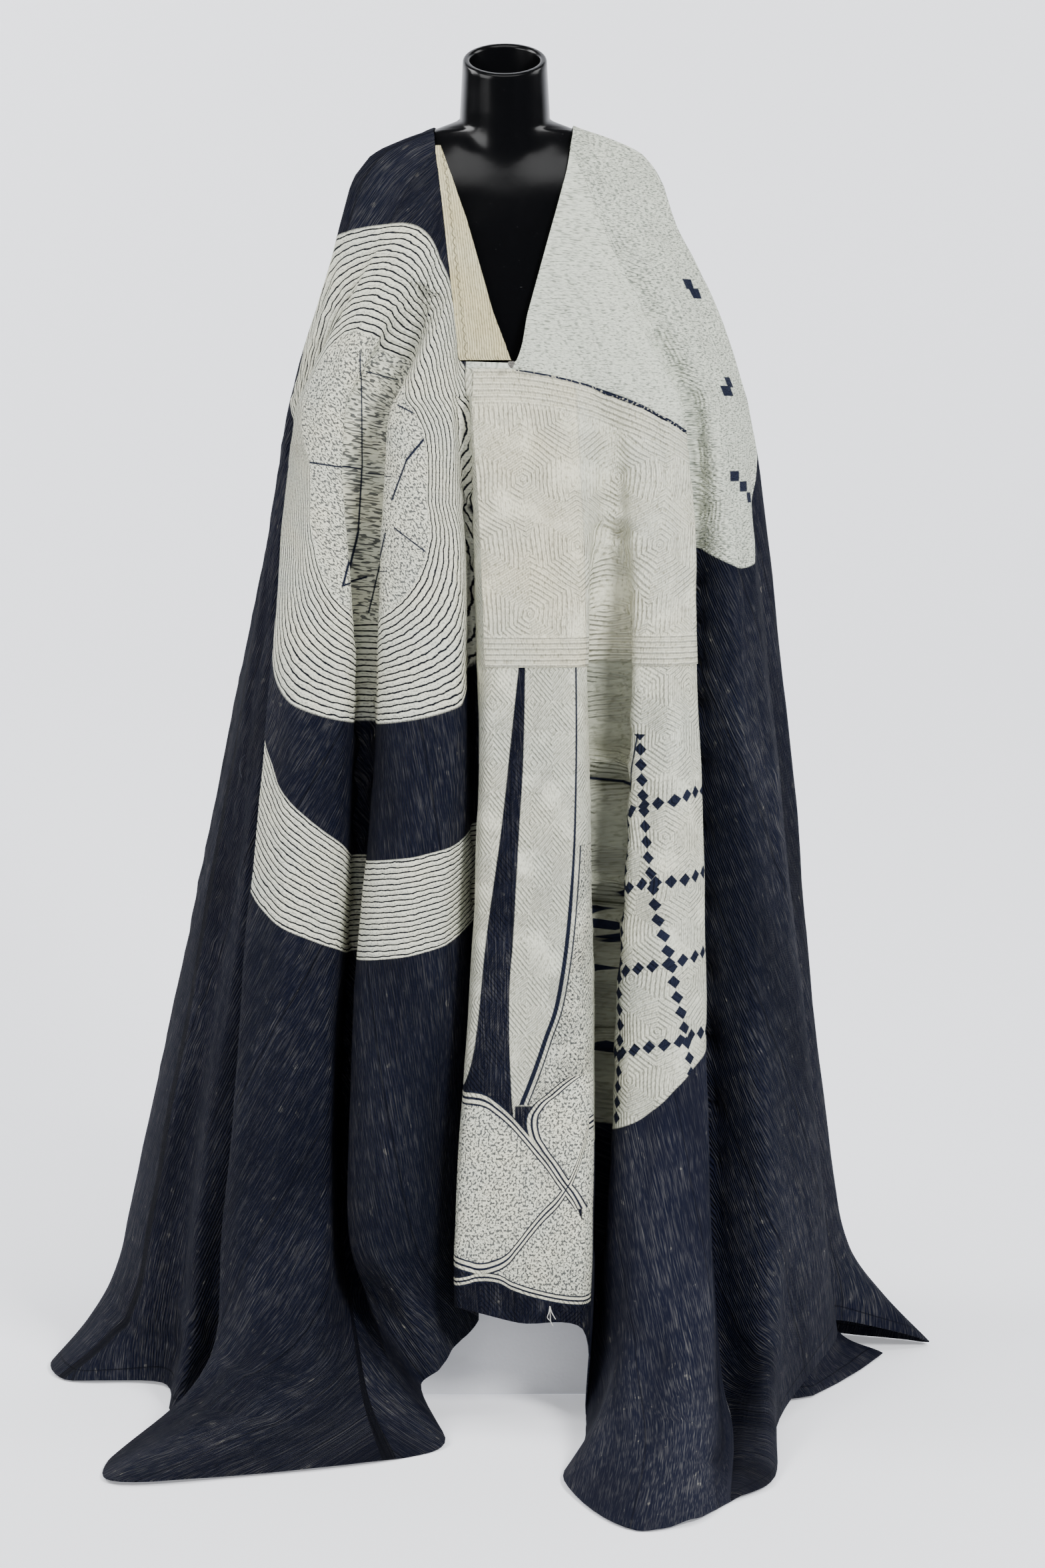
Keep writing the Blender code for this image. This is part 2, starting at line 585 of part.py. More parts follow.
def back_corner(robe, material, collection):
    """The layer that shows below the open sleeve end and runs out over the floor."""
    columns, grid, normals = robe
    part = stretch_of(columns, UNDER_FOLDS[0].name, UNDER_FOLDS[-1].name)
    inward = np.full((len(grid), 1, 1), UNDER_IN)
    inward[UNDER_ROWS[0]] = CLOTH + SEAM_GAP
    base = grid[:, part] - normals[:, part] * inward
    own = columns[part]
    marks = [columns[stretch_of(columns, fold.name, UNDER_FOLDS[-1].name).start] for fold in UNDER_FOLDS]
    pools = np.column_stack([np.interp(own, marks, [fold.pool[axis] for fold in UNDER_FOLDS])
                             for axis in range(3)])
    hems = np.column_stack([np.interp(own, marks, [fold.hem[axis] for fold in UNDER_FOLDS])
                            for axis in range(3)])
    grid_rows = []
    for column in range(len(own)):
        stations = [base[row, column] for row in UNDER_ROWS] + [pools[column], hems[column]]
        params = list(range(len(UNDER_ROWS)))
        params += [len(UNDER_ROWS) - 1 + 2 * step / UNDER_LOW_ROWS for step in range(1, UNDER_LOW_ROWS + 1)]
        grid_rows.append(curve_through(stations, params))
    middle = np.array(grid_rows).transpose(1, 0, 2)
    middle[:, :, 2] = np.maximum(middle[:, :, 2], CLOTH / 2 + FLOOR_GAP)
    verts, faces = wall_mesh(middle, grid_normals(middle, round_trip=False), CLOTH)
    return mesh_object("back_corner_left", verts, faces, material, collection)


def plain_material(name, colour, roughness, metallic=0.0):
    material = bpy.data.materials.new(name)
    material.use_nodes = True
    shader = material.node_tree.nodes["Principled BSDF"]
    shader.inputs["Base Color"].default_value = (*colour, 1.0)
    shader.inputs["Roughness"].default_value = roughness
    shader.inputs["Metallic"].default_value = metallic
    return material


def dress_form(material, collection):
    """Torso and open neck in one closed skin with a hollow in the neck."""
    turns = [2 * math.pi * side / FORM_SIDES for side in range(FORM_SIDES)]
    torso_heights = list(np.linspace(FORM_SECTIONS[0].z, SHOULDER_LOW_Z, TORSO_ROWS, endpoint=False))
    torso_heights += list(np.linspace(SHOULDER_LOW_Z, SHOULDER_TOP_Z, SHOULDER_ROWS))
    neck_heights = list(np.linspace(SHOULDER_TOP_Z, NECK_TOP_Z, NECK_ROWS + 1))[1:]
    rings = []
    for z in torso_heights + neck_heights:
        lean = max((z - SHOULDER_TOP_Z) / (NECK_TOP_Z - SHOULDER_TOP_Z), 0.0)
        ring = []
        for turn in turns:
            radius = form_radius(turn, z)
            y = radius * math.sin(turn)
            ring.append((radius * math.cos(turn), y, z + lean * NECK_SLANT * y))
        rings.append(ring)
    for z, lean in ((NECK_TOP_Z, 1.0), (1.66, 0.6), (NECK_HOLLOW_FLOOR, 0.0)):
        radius = neck_radius(z) - NECK_WALL
        rings.append([(radius * math.cos(turn), radius * math.sin(turn),
                       z + lean * NECK_SLANT * radius * math.sin(turn)) for turn in turns])
    verts = [point for ring in rings for point in ring]
    faces = [tuple(reversed(range(FORM_SIDES)))]
    for ring in range(len(rings) - 1):
        for side in range(FORM_SIDES):
            after = (side + 1) % FORM_SIDES
            low, high = ring * FORM_SIDES, (ring + 1) * FORM_SIDES
            faces.append((low + side, low + after, high + after, high + side))
    last = (len(rings) - 1) * FORM_SIDES
    faces.append(tuple(last + side for side in range(FORM_SIDES)))
    return mesh_object("dress_form", verts, faces, material, collection)


PLINTH_HALF = 0.212
PLINTH_HEIGHT = 0.120
POLE_RADIUS = 0.0175
FLANGE_RADIUS = 0.075
FLANGE_HEIGHT = 0.010


def rod(name, radius, low, high, material, collection, sides=40):
    bpy.ops.mesh.primitive_cylinder_add(vertices=sides, radius=radius, depth=high - low,
                                        location=(0, 0, (low + high) / 2))
    obj = bpy.context.object
    obj.name = name
    obj.data.name = name
    obj.data.materials.append(material)
    obj.data.shade_smooth()
    obj.data.set_sharp_from_angle(angle=math.radians(40))
    for group in list(obj.users_collection):
        group.objects.unlink(obj)
    collection.objects.link(obj)
    return obj


def stand(collection):
    """White plinth, steel flange and the pole that carries the form."""
    white = plain_material("plinth_white", (0.78, 0.79, 0.80), 0.6)
    steel = plain_material("stand_steel", (0.35, 0.35, 0.36), 0.4, 1.0)
    bpy.ops.mesh.primitive_cube_add(size=1.0, location=(0, 0, PLINTH_HEIGHT / 2))
    plinth = bpy.context.object
    plinth.name = "plinth"
    plinth.scale = (2 * PLINTH_HALF, 2 * PLINTH_HALF, PLINTH_HEIGHT)
    bpy.ops.object.transform_apply(location=False, rotation=False, scale=True)
    plinth.data.materials.append(white)
    edge = plinth.modifiers.new("edges", "BEVEL")
    edge.width = 0.002
    edge.segments = 2
    for group in list(plinth.users_collection):
        group.objects.unlink(plinth)
    collection.objects.link(plinth)
    flange_low = PLINTH_HEIGHT + SEAM_GAP
    rod("stand_flange", FLANGE_RADIUS, flange_low, flange_low + FLANGE_HEIGHT, steel, collection)
    rod("stand_pole", POLE_RADIUS, flange_low + FLANGE_HEIGHT + SEAM_GAP,
        FORM_SECTIONS[0].z - SEAM_GAP, steel, collection, sides=28)


def main():
    for thing in list(bpy.data.objects):
        bpy.data.objects.remove(thing)
    collection = bpy.data.collections.new("grand_boubou_robe")
    bpy.context.scene.collection.children.link(collection)
    indigo = plain_material("indigo_cloth", (0.012, 0.016, 0.034), 0.85)
    cream = plain_material("embroidered_cream", (0.62, 0.60, 0.47), 0.9)
    ivory = plain_material("facing_cream", (0.64, 0.57, 0.37), 0.9)
    black = plain_material("form_black", (0.010, 0.010, 0.011), 0.25)
    form = dress_form(black, collection)
    form_tree = BVHTree.FromPolygons([v.co for v in form.data.vertices],
                                     [tuple(p.vertices) for p in form.data.polygons])
    robe = cloth_grid(form_tree)
    cloth_piece("front", "ridge_1_left", "valley_4", robe, indigo, collection)
    cloth_piece("sleeve_left", "valley_4", "back_valley_1", robe, indigo, collection)
    cloth_piece("back", "back_valley_1", "back_valley_6", robe, indigo, collection)
    cloth_piece("sleeve_right", "back_valley_6", "ridge_1_left", robe, indigo, collection)
    pocket_panel(robe, cream, collection)
    neck_facing(robe, ivory, collection)
    back_corner(robe, indigo, collection)
    stand(collection)


if __name__ == "__main__":
    main()
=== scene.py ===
import math
from collections import namedtuple

import bpy
import mathutils
import numpy as np
from mathutils.bvhtree import BVHTree
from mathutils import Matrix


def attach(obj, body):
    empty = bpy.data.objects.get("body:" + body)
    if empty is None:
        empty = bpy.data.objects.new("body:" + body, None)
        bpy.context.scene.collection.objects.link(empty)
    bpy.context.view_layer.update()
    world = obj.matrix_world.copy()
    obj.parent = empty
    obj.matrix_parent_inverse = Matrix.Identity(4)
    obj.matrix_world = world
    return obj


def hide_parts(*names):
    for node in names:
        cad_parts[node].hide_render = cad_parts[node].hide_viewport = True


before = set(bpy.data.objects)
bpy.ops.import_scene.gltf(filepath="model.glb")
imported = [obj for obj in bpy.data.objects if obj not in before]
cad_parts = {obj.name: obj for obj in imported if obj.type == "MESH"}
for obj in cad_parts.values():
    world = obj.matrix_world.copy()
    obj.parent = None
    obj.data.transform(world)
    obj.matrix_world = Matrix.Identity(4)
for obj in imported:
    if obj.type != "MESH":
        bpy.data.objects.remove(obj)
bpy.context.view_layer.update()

# Cloth sizes and the fineness of the visual surface
CLOTH = 0.0018
PANEL_CLOTH = 0.0012
SEAM_GAP = 0.0003
LAY_GAP = 0.0012
FLOOR_GAP = 0.0003
COLUMN_STEPS = 8
TOP_ROWS = 42
LOW_ROWS = (26, 34, 15, 12, 10)

CHEST_Z = 1.26
HIP_Z = 0.90
SHIN_Z = 0.22

# The robe's outline over the shoulders, before it is folded: half widths to
# each side and depths to front and back, at heights from the chest to the collar
Section = namedtuple("Section", "z right left front back")
SECTIONS = [
    Section(1.260, 0.315, 0.275, 0.157, 0.142),
    Section(1.310, 0.300, 0.263, 0.148, 0.138),
    Section(1.372, 0.279, 0.246, 0.134, 0.133),
    Section(1.442, 0.249, 0.229, 0.118, 0.126),
    Section(1.482, 0.229, 0.222, 0.106, 0.119),
    Section(1.542, 0.215, 0.211, 0.086, 0.104),
    Section(1.575, 0.193, 0.186, 0.067, 0.089),
    Section(1.594, 0.147, 0.140, 0.048, 0.074),
    Section(1.607, 0.105, 0.098, 0.028, 0.062),
    Section(1.618, 0.072, 0.070, 0.010, 0.052),
]

# Fold lines, seen from above anticlockwise from the front middle. neck is (x, z)
# on the neck edge, chest, hip and shin are (x, y) at their heights, and foot,
# pool and hem are (x, y, z) where the cloth bends, lies and ends.
Fold = namedtuple("Fold", "name neck chest hip shin foot pool hem")
FRONT_RIGHT_FOLDS = [
    Fold("panel_middle", (0.0105, 1.304), (0.016, -0.168), (0.035, -0.240), (0.018, -0.350),
         (0.018, -0.352, 0.190), (0.018, -0.353, 0.160), (0.018, -0.354, 0.131)),
    Fold("panel_right", (0.030, 1.372), (0.078, -0.163), (0.092, -0.232), (0.097, -0.342),
         (0.097, -0.344, 0.185), (0.097, -0.345, 0.153), (0.097, -0.346, 0.121)),
    Fold("valley_3", (0.046, 1.430), (0.118, -0.149), (0.126, -0.165), (0.116, -0.219),
         (0.113, -0.262, 0.108), (0.109, -0.302, 0.056), (0.101, -0.338, 0.012)),
    Fold("ridge_4_left", (0.057, 1.470), (0.150, -0.147), (0.164, -0.200), (0.134, -0.300),
         (0.132, -0.335, 0.100), (0.124, -0.380, 0.050), (0.098, -0.430, 0.004)),
    Fold("ridge_4_crest", (0.066, 1.502), (0.186, -0.139), (0.203, -0.212), (0.172, -0.342),
         (0.152, -0.420, 0.105), (0.120, -0.520, 0.055), (0.072, -0.590, 0.004)),
    Fold("ridge_4_toe", (0.073, 1.528), (0.209, -0.128), (0.226, -0.198), (0.215, -0.345),
         (0.205, -0.450, 0.100), (0.184, -0.600, 0.052), (0.150, -0.765, 0.004)),
    Fold("ridge_4_right", (0.079, 1.551), (0.226, -0.112), (0.243, -0.172), (0.254, -0.312),
         (0.252, -0.420, 0.085), (0.244, -0.550, 0.045), (0.212, -0.738, 0.004)),
    Fold("valley_4", (0.083, 1.575), (0.234, -0.097), (0.234, -0.122), (0.262, -0.200),
         (0.272, -0.300, 0.050), (0.278, -0.430, 0.020), (0.262, -0.660, 0.004)),
    Fold("ridge_5", (0.085, 1.589), (0.262, -0.095), (0.295, -0.152), (0.328, -0.250),
         (0.322, -0.320, 0.090), (0.316, -0.420, 0.050), (0.312, -0.595, 0.004)),
    Fold("sleeve_corner", (0.0865, 1.597), (0.284, -0.070), (0.322, -0.120), (0.366, -0.205),
         (0.352, -0.258, 0.110), (0.346, -0.305, 0.060), (0.338, -0.360, 0.012)),
    Fold("ridge_5_right", (0.087, 1.602), (0.299, -0.045), (0.338, -0.080), (0.410, -0.135),
         (0.417, -0.145, 0.125), (0.421, -0.150, 0.088), (0.425, -0.155, 0.054)),
    Fold("valley_5", (0.0875, 1.606), (0.304, -0.018), (0.337, -0.018), (0.410, -0.030),
         (0.423, -0.035, 0.125), (0.430, -0.038, 0.088), (0.436, -0.040, 0.052)),
    Fold("right_side", (0.088, 1.610), (0.315, 0.014), (0.364, 0.035), (0.438, 0.050),
         (0.462, 0.042, 0.130), (0.508, 0.038, 0.068), (0.569, 0.030, 0.004)),
]
FRONT_LEFT_FOLDS = [
    Fold("left_side", (-0.0915, 1.606), (-0.275, 0.010), (-0.345, 0.025), (-0.488, 0.030),
         (-0.515, 0.020, 0.110), (-0.548, 0.000, 0.052), (-0.588, -0.030, 0.004)),
    Fold("left_layer", (-0.091, 1.602), (-0.273, -0.020), (-0.333, -0.052), (-0.454, -0.100),
         (-0.482, -0.115, 0.090), (-0.516, -0.128, 0.045), (-0.570, -0.150, 0.004)),
    Fold("left_soft", (-0.090, 1.597), (-0.269, -0.037), (-0.313, -0.082), (-0.410, -0.128),
         (-0.424, -0.140, 0.075), (-0.431, -0.152, 0.038), (-0.441, -0.170, 0.004)),
    Fold("left_fold", (-0.0895, 1.591), (-0.263, -0.050), (-0.298, -0.104), (-0.388, -0.192),
         (-0.398, -0.232, 0.080), (-0.404, -0.266, 0.042), (-0.410, -0.310, 0.004)),
    Fold("left_valley", (-0.0885, 1.582), (-0.256, -0.060), (-0.280, -0.118), (-0.346, -0.198),
         (-0.362, -0.222, 0.060), (-0.367, -0.234, 0.030), (-0.370, -0.248, 0.004)),
    Fold("ridge_1_under", (-0.0878, 1.575), (-0.260, -0.072), (-0.289, -0.146), (-0.350, -0.240),
         (-0.355, -0.285, 0.070), (-0.364, -0.335, 0.032), (-0.374, -0.372, 0.004)),
    Fold("ridge_1_left", (-0.087, 1.566), (-0.262, -0.082), (-0.295, -0.165), (-0.352, -0.270),
         (-0.357, -0.315, 0.100), (-0.388, -0.388, 0.050), (-0.464, -0.478, 0.004)),
    Fold("ridge_1_crest", (-0.083, 1.540), (-0.231, -0.122), (-0.250, -0.208), (-0.292, -0.316),
         (-0.305, -0.375, 0.105), (-0.352, -0.462, 0.055), (-0.458, -0.590, 0.004)),
    Fold("ridge_1_right", (-0.079, 1.505), (-0.197, -0.136), (-0.201, -0.198), (-0.226, -0.300),
         (-0.230, -0.378, 0.105), (-0.250, -0.480, 0.060), (-0.300, -0.562, 0.004)),
    Fold("valley_1_left", (-0.075, 1.470), (-0.177, -0.126), (-0.179, -0.138), (-0.206, -0.180),
         (-0.178, -0.335, 0.090), (-0.158, -0.430, 0.045), (-0.128, -0.495, 0.004)),
    Fold("valley_1_right", (-0.072, 1.445), (-0.165, -0.128), (-0.167, -0.140), (-0.188, -0.182),
         (-0.146, -0.345, 0.078), (-0.108, -0.405, 0.040), (-0.072, -0.440, 0.004)),
    Fold("ridge_2_left", (-0.069, 1.418), (-0.137, -0.156), (-0.150, -0.218), (-0.188, -0.310),
         (-0.160, -0.302, 0.150), (-0.130, -0.332, 0.098), (-0.104, -0.345, 0.050)),
    Fold("ridge_2_crest", (-0.064, 1.375), (-0.101, -0.167), (-0.105, -0.242), (-0.138, -0.348),
         (-0.118, -0.338, 0.158), (-0.098, -0.336, 0.112), (-0.080, -0.328, 0.066)),
    Fold("ridge_2_right", (-0.060, 1.335), (-0.069, -0.165), (-0.059, -0.230), (-0.094, -0.312),
         (-0.082, -0.304, 0.165), (-0.071, -0.298, 0.125), (-0.061, -0.290, 0.085)),
    Fold("valley_2", (-0.056, 1.309), (-0.053, -0.154), (-0.038, -0.160), (-0.033, -0.235),
         (-0.033, -0.240, 0.180), (-0.033, -0.243, 0.142), (-0.033, -0.246, 0.106)),
    Fold("panel_left", (-0.038, 1.305), (-0.039, -0.163), (-0.022, -0.232), (-0.059, -0.343),
         (-0.0595, -0.345, 0.200), (-0.060, -0.347, 0.175), (-0.060, -0.349, 0.150)),
]

# The back, which hangs in plain folds. angle is in degrees from the wearer's left
# round to the right, reach is the share of the back's full depth that a fold
# line keeps at hip and shin, and drop is the height of its hem.
BackFold = namedtuple("BackFold", "name angle reach_hip reach_shin spread drop")
BACK_FOLDS = [
    BackFold("back_valley_1", 22, 0.86, 0.80, 0.05, 0.004),
    BackFold("back_ridge_1", 38, 1.00, 1.02, 0.16, 0.004),
    BackFold("back_valley_2", 52, 0.78, 0.70, 0.10, 0.004),
    BackFold("back_ridge_2", 66, 1.00, 0.98, 0.06, 0.030),
    BackFold("back_valley_3", 78, 0.76, 0.66, 0.01, 0.070),
    BackFold("back_ridge_3", 92, 1.00, 0.97, 0.00, 0.095),
    BackFold("back_valley_4", 104, 0.78, 0.68, 0.01, 0.075),
    BackFold("back_ridge_4", 117, 1.00, 1.00, 0.05, 0.035),
    BackFold("back_valley_5", 130, 0.80, 0.70, 0.09, 0.004),
    BackFold("back_ridge_5", 144, 1.00, 1.02, 0.17, 0.004),
    BackFold("back_valley_6", 159, 0.84, 0.80, 0.06, 0.004),
]
BACK_HALF_WIDTH = {"hip": 0.350, "shin": 0.450}
BACK_DEPTH = {"hip": 0.245, "shin": 0.380}
NECK_BACK_DROP = 0.012


def section_at(z):
    """Half widths and depths of the unfolded outline at height z."""
    heights = [s.z for s in SECTIONS]
    return {side: float(np.interp(z, heights, [getattr(s, side) for s in SECTIONS]))
            for side in ("right", "left", "front", "back")}


def outline_point(x, z, back=False):
    """The point of the unfolded outline at this x and height, in front or behind."""
    size = section_at(z)
    half = size["right"] if x >= 0 else size["left"]
    share = min(abs(x) / half, 1.0)
    depth = math.sqrt(1.0 - share * share)
    y = size["back"] * depth if back else -size["front"] * depth
    return np.array([x, y, z])


def back_fold_rows():
    """The back's fold lines as rows of the same kind as the front's."""
    rows = []
    for fold in BACK_FOLDS:
        turn = math.radians(fold.angle)
        size = section_at(CHEST_Z)
        half = size["right"] if turn < math.pi / 2 else size["left"]
        chest = (half * math.cos(turn), size["back"] * math.sin(turn))
        spots = {}
        for level, reach in (("hip", fold.reach_hip), ("shin", fold.reach_shin)):
            spots[level] = (BACK_HALF_WIDTH[level] * math.cos(turn) * reach,
                            BACK_DEPTH[level] * math.sin(turn) * reach)
        shin = spots["shin"]
        away = (math.cos(turn), math.sin(turn))
        foot, pool, hem = [
            (shin[0] + away[0] * share * fold.spread, shin[1] + away[1] * share * fold.spread,
             fold.drop + rise)
            for share, rise in ((0.25, 0.080), (0.60, 0.036), (1.0, 0.0))]
        neck = (0.088 * math.cos(turn), 1.610 - NECK_BACK_DROP * math.sin(turn))
        rows.append(Fold(fold.name, neck, chest, spots["hip"], shin, foot, pool, hem))
    return rows


FOLDS = FRONT_RIGHT_FOLDS + back_fold_rows() + FRONT_LEFT_FOLDS
FOLD_INDEX = {fold.name: number for number, fold in enumerate(FOLDS)}
BACK_NAMES = {fold.name for fold in BACK_FOLDS}


def curve_through(points, params):
    """A smooth curve through points, read at params counted in points."""
    points = np.asarray(points, float)
    gaps = np.sqrt(np.linalg.norm(np.diff(points, axis=0), axis=1)) + 1e-9
    knots = np.concatenate([[0.0], np.cumsum(gaps)])
    slopes = np.diff(points, axis=0) / gaps[:, None]
    tangents = np.empty_like(points)
    tangents[0] = slopes[0]
    tangents[-1] = slopes[-1]
    weight = gaps[1:] / (gaps[:-1] + gaps[1:])
    tangents[1:-1] = weight[:, None] * slopes[:-1] + (1 - weight)[:, None] * slopes[1:]
    params = np.asarray(params, float)
    start = np.clip(params.astype(int), 0, len(points) - 2)
    share = (params - start)[:, None]
    width = gaps[start][:, None]
    s2, s3 = share ** 2, share ** 3
    return ((2 * s3 - 3 * s2 + 1) * points[start] + (s3 - 2 * s2 + share) * width * tangents[start]
            + (3 * s2 - 2 * s3) * points[start + 1] + (s3 - s2) * width * tangents[start + 1])


def top_path(fold, samples=40):
    """A fold line from the neck edge to the chest, over the unfolded outline."""
    back = fold.name in BACK_NAMES
    chest_size = section_at(CHEST_Z)
    neck_size = section_at(fold.neck[1])

    def share_of(x, size):
        return max(-1.0, min(1.0, x / (size["right"] if x >= 0 else size["left"])))

    start, end = share_of(fold.neck[0], neck_size), share_of(fold.chest[0], chest_size)
    turn_start, turn_end = math.acos(start), math.acos(end)
    flat_end = outline_point(fold.chest[0], CHEST_Z, back)
    offset = np.array([fold.chest[0], fold.chest[1], CHEST_Z]) - flat_end
    points = []
    for step in range(samples + 1):
        share = step / samples
        z = fold.neck[1] + (CHEST_Z - fold.neck[1]) * share ** 1.6
        fall = (fold.neck[1] - z) / (fold.neck[1] - CHEST_Z)
        turn = turn_start + (turn_end - turn_start) * fall
        size = section_at(z)
        half = size["right"] if math.cos(turn) >= 0 else size["left"]
        depth = size["back"] if back else -size["front"]
        flat = np.array([half * math.cos(turn), depth * math.sin(turn), z])
        points.append(flat + offset * fall ** 1.5)
    return np.array(points)


def along(points, count):
    """The path read again at count even steps of its length."""
    lengths = np.concatenate([[0.0], np.cumsum(np.linalg.norm(np.diff(points, axis=0), axis=1))])
    wanted = np.linspace(0.0, lengths[-1], count)
    return np.column_stack([np.interp(wanted, lengths, points[:, axis]) for axis in range(3)])


ROBE_START = "back_valley_6"
FINE = 24


def fold_line(fold):
    """A fold line from neck to hem, FINE samples for each of its six stretches."""
    top = along(top_path(fold), FINE + 1)
    stations = [top[-4],
                (*fold.chest, CHEST_Z), (*fold.hip, HIP_Z), (*fold.shin, SHIN_Z),
                fold.foot, fold.pool, fold.hem]
    params = 1 + np.arange(0, 5 * FINE + 1) / FINE
    low = curve_through(stations, params)
    return np.vstack([top[:-1], low])


LINES = np.array([fold_line(fold) for fold in FOLDS])
LINES[:, :, 2] = np.maximum(LINES[:, :, 2], CLOTH / 2 + FLOOR_GAP)


def ring_at(v):
    """The turn points of all fold lines at row v, from 0 at the neck to 6 at the hem."""
    place = min(max(v, 0.0), 6.0) * FINE
    low = min(int(place), 6 * FINE - 1)
    share = place - low
    return LINES[:, low] * (1 - share) + LINES[:, low + 1] * share


def ring_points(v, columns):
    """Points of the ring at row v, at columns counted in fold lines."""
    turns = ring_at(v)
    count = len(turns)
    wrapped = np.vstack([turns[-2:], turns, turns[:3]])
    return curve_through(wrapped, np.mod(columns, count) + 2)


def surface(columns, rows):
    """Grid of points of the robe, rows by columns; rows may be one row per column."""
    grid = np.empty((len(rows), len(columns), 3))
    for number, row in enumerate(rows):
        grid[number] = ring_points(row, columns)
    return grid


# The dress form: half width and depths of its torso, from the base to the neck
FormSection = namedtuple("FormSection", "z half front back")
FORM_SECTIONS = [
    FormSection(0.820, 0.150, 0.100, 0.112),
    FormSection(0.900, 0.158, 0.104, 0.118),
    FormSection(1.050, 0.134, 0.092, 0.095),
    FormSection(1.200, 0.148, 0.112, 0.102),
    FormSection(1.310, 0.160, 0.128, 0.112),
    FormSection(1.400, 0.176, 0.118, 0.118),
    FormSection(1.480, 0.184, 0.098, 0.110),
    FormSection(1.535, 0.191, 0.079, 0.096),
    FormSection(1.566, 0.176, 0.062, 0.083),
    FormSection(1.589, 0.134, 0.043, 0.069),
    FormSection(1.605, 0.094, 0.025, 0.058),
    FormSection(1.616, 0.060, 0.008, 0.046),
]
SHOULDER_LOW_Z = 1.480
SHOULDER_TOP_Z = 1.622
NECK_BASE_Z = 1.560
NECK_TOP_Z = 1.696
NECK_BASE_RADIUS = 0.0615
NECK_TOP_RADIUS = 0.0540
NECK_SLANT = 0.48
NECK_WALL = 0.009
NECK_HOLLOW_FLOOR = 1.585
NECK_BLEND = 0.012


def torso_size(z):
    """Half width, front and back depth of the torso at height z, zero above it."""
    heights = [s.z for s in FORM_SECTIONS]
    if z > heights[-1]:
        return 1e-4, 1e-4, 1e-4
    return tuple(float(np.interp(z, heights, [getattr(s, part) for s in FORM_SECTIONS]))
                 for part in ("half", "front", "back"))


def torso_radius(turn, z):
    """Distance from the form's axis to the torso's side at this angle and height."""
    half, front, back = torso_size(z)
    depth = back if math.sin(turn) > 0 else front
    return 1.0 / math.hypot(math.cos(turn) / half, math.sin(turn) / depth)


def neck_radius(z):
    share = min(max((z - NECK_BASE_Z) / (NECK_TOP_Z - NECK_BASE_Z), 0.0), 1.0)
    return NECK_BASE_RADIUS + (NECK_TOP_RADIUS - NECK_BASE_RADIUS) * share


def form_radius(turn, z):
    """The form's outer radius: torso and neck run into each other with a soft fillet."""
    torso = torso_radius(turn, z)
    if z < NECK_BASE_Z - 0.03:
        return torso
    neck = neck_radius(z)
    near = max(NECK_BLEND - abs(torso - neck), 0.0) / NECK_BLEND
    return max(torso, neck) + near * near * NECK_BLEND / 4.0


# The breast pocket: its mouth falls in a bow from the neck's point to the sleeve,
# and its straight foot is at one height
POCKET_FIRST = "panel_left"
POCKET_LAST = "ridge_4_right"
POCKET_TOP_Z = 1.298
POCKET_TOP_BOW = 1.55
POCKET_TOP_FALL = 0.03
POCKET_FOOT_Z = 0.930

# The ribbed facing between the front's neck edge and the open V, as (x, z) down its
# inner edge
FACING_INNER_EDGE = [(-0.0895, 1.608), (-0.083, 1.587), (-0.048, 1.488), (-0.014, 1.369), (0.0095, 1.3065)]
FACING_LAST = "left_valley"

# The back's corner under the open left sleeve: its (x, y, z) at pool and hem under
# each fold line, and the rows of the loft that it follows, sewn to the sleeve along
# the first of them and UNDER_IN inside it on the others
UnderFold = namedtuple("UnderFold", "name pool hem")
UNDER_FOLDS = [
    UnderFold("sleeve_corner", (0.318, -0.262, 0.040), (0.322, -0.270, 0.004)),
    UnderFold("ridge_5_right", (0.396, -0.172, 0.032), (0.392, -0.228, 0.004)),
    UnderFold("valley_5", (0.424, -0.080, 0.030), (0.452, -0.128, 0.004)),
    UnderFold("right_side", (0.440, 0.000, 0.030), (0.500, -0.030, 0.004)),
]
UNDER_IN = 0.012
UNDER_LEVELS = (2.2, 2.4, 2.6, 2.8, 3.0)
UNDER_STEPS = 60

FACING_COLUMNS = 14
FACING_SWELL = 0.0015
FACING_FOOT_GAP = 0.0012

KNOT_PLACE = (0.0088, -0.1725, 1.3045)
KNOT_SIZE = 0.0012
HEM_TUFT = (0.0563, -0.3555, 0.1524)


COLUMN_COUNT = len(FOLDS)
COLUMNS = FOLD_INDEX[ROBE_START] + np.arange(COLUMN_COUNT * COLUMN_STEPS + 1) / COLUMN_STEPS
ROWS = list(np.linspace(0.0, 1.0, TOP_ROWS + 1))
for stretch, steps in enumerate(LOW_ROWS, start=1):
    ROWS += [stretch + step / steps for step in range(1, steps + 1)]
ROWS = np.array(ROWS)
SHIN_ROW = int(np.argmin(np.abs(ROWS - 3.0)))
CHEST_ROW = TOP_ROWS


def column_at(name, more=0.0):
    """The place of a fold line, plus a share of the way to the next, in COLUMNS."""
    return int(round(((FOLD_INDEX[name] + more - COLUMNS[0]) % COLUMN_COUNT) * COLUMN_STEPS))


def row_at(v):
    return int(np.argmin(np.abs(ROWS - v)))


def grid_normals(grid, round_trip=True):
    """Unit normals of a grid of points, pointing out; round_trip joins its two side edges."""
    rising = grid[1:, 1:] - grid[:-1, :-1]
    falling = grid[1:, :-1] - grid[:-1, 1:]
    cells = np.cross(falling, rising)
    cells /= np.linalg.norm(cells, axis=2)[:, :, None] + 1e-12
    total = np.zeros(grid.shape)
    for rows in (slice(None, -1), slice(1, None)):
        for columns in (slice(None, -1), slice(1, None)):
            total[rows, columns] += cells
    if round_trip:
        total[:, 0] += total[:, -1]
        total[:, -1] = total[:, 0]
    return total / (np.linalg.norm(total, axis=2)[:, :, None] + 1e-12)


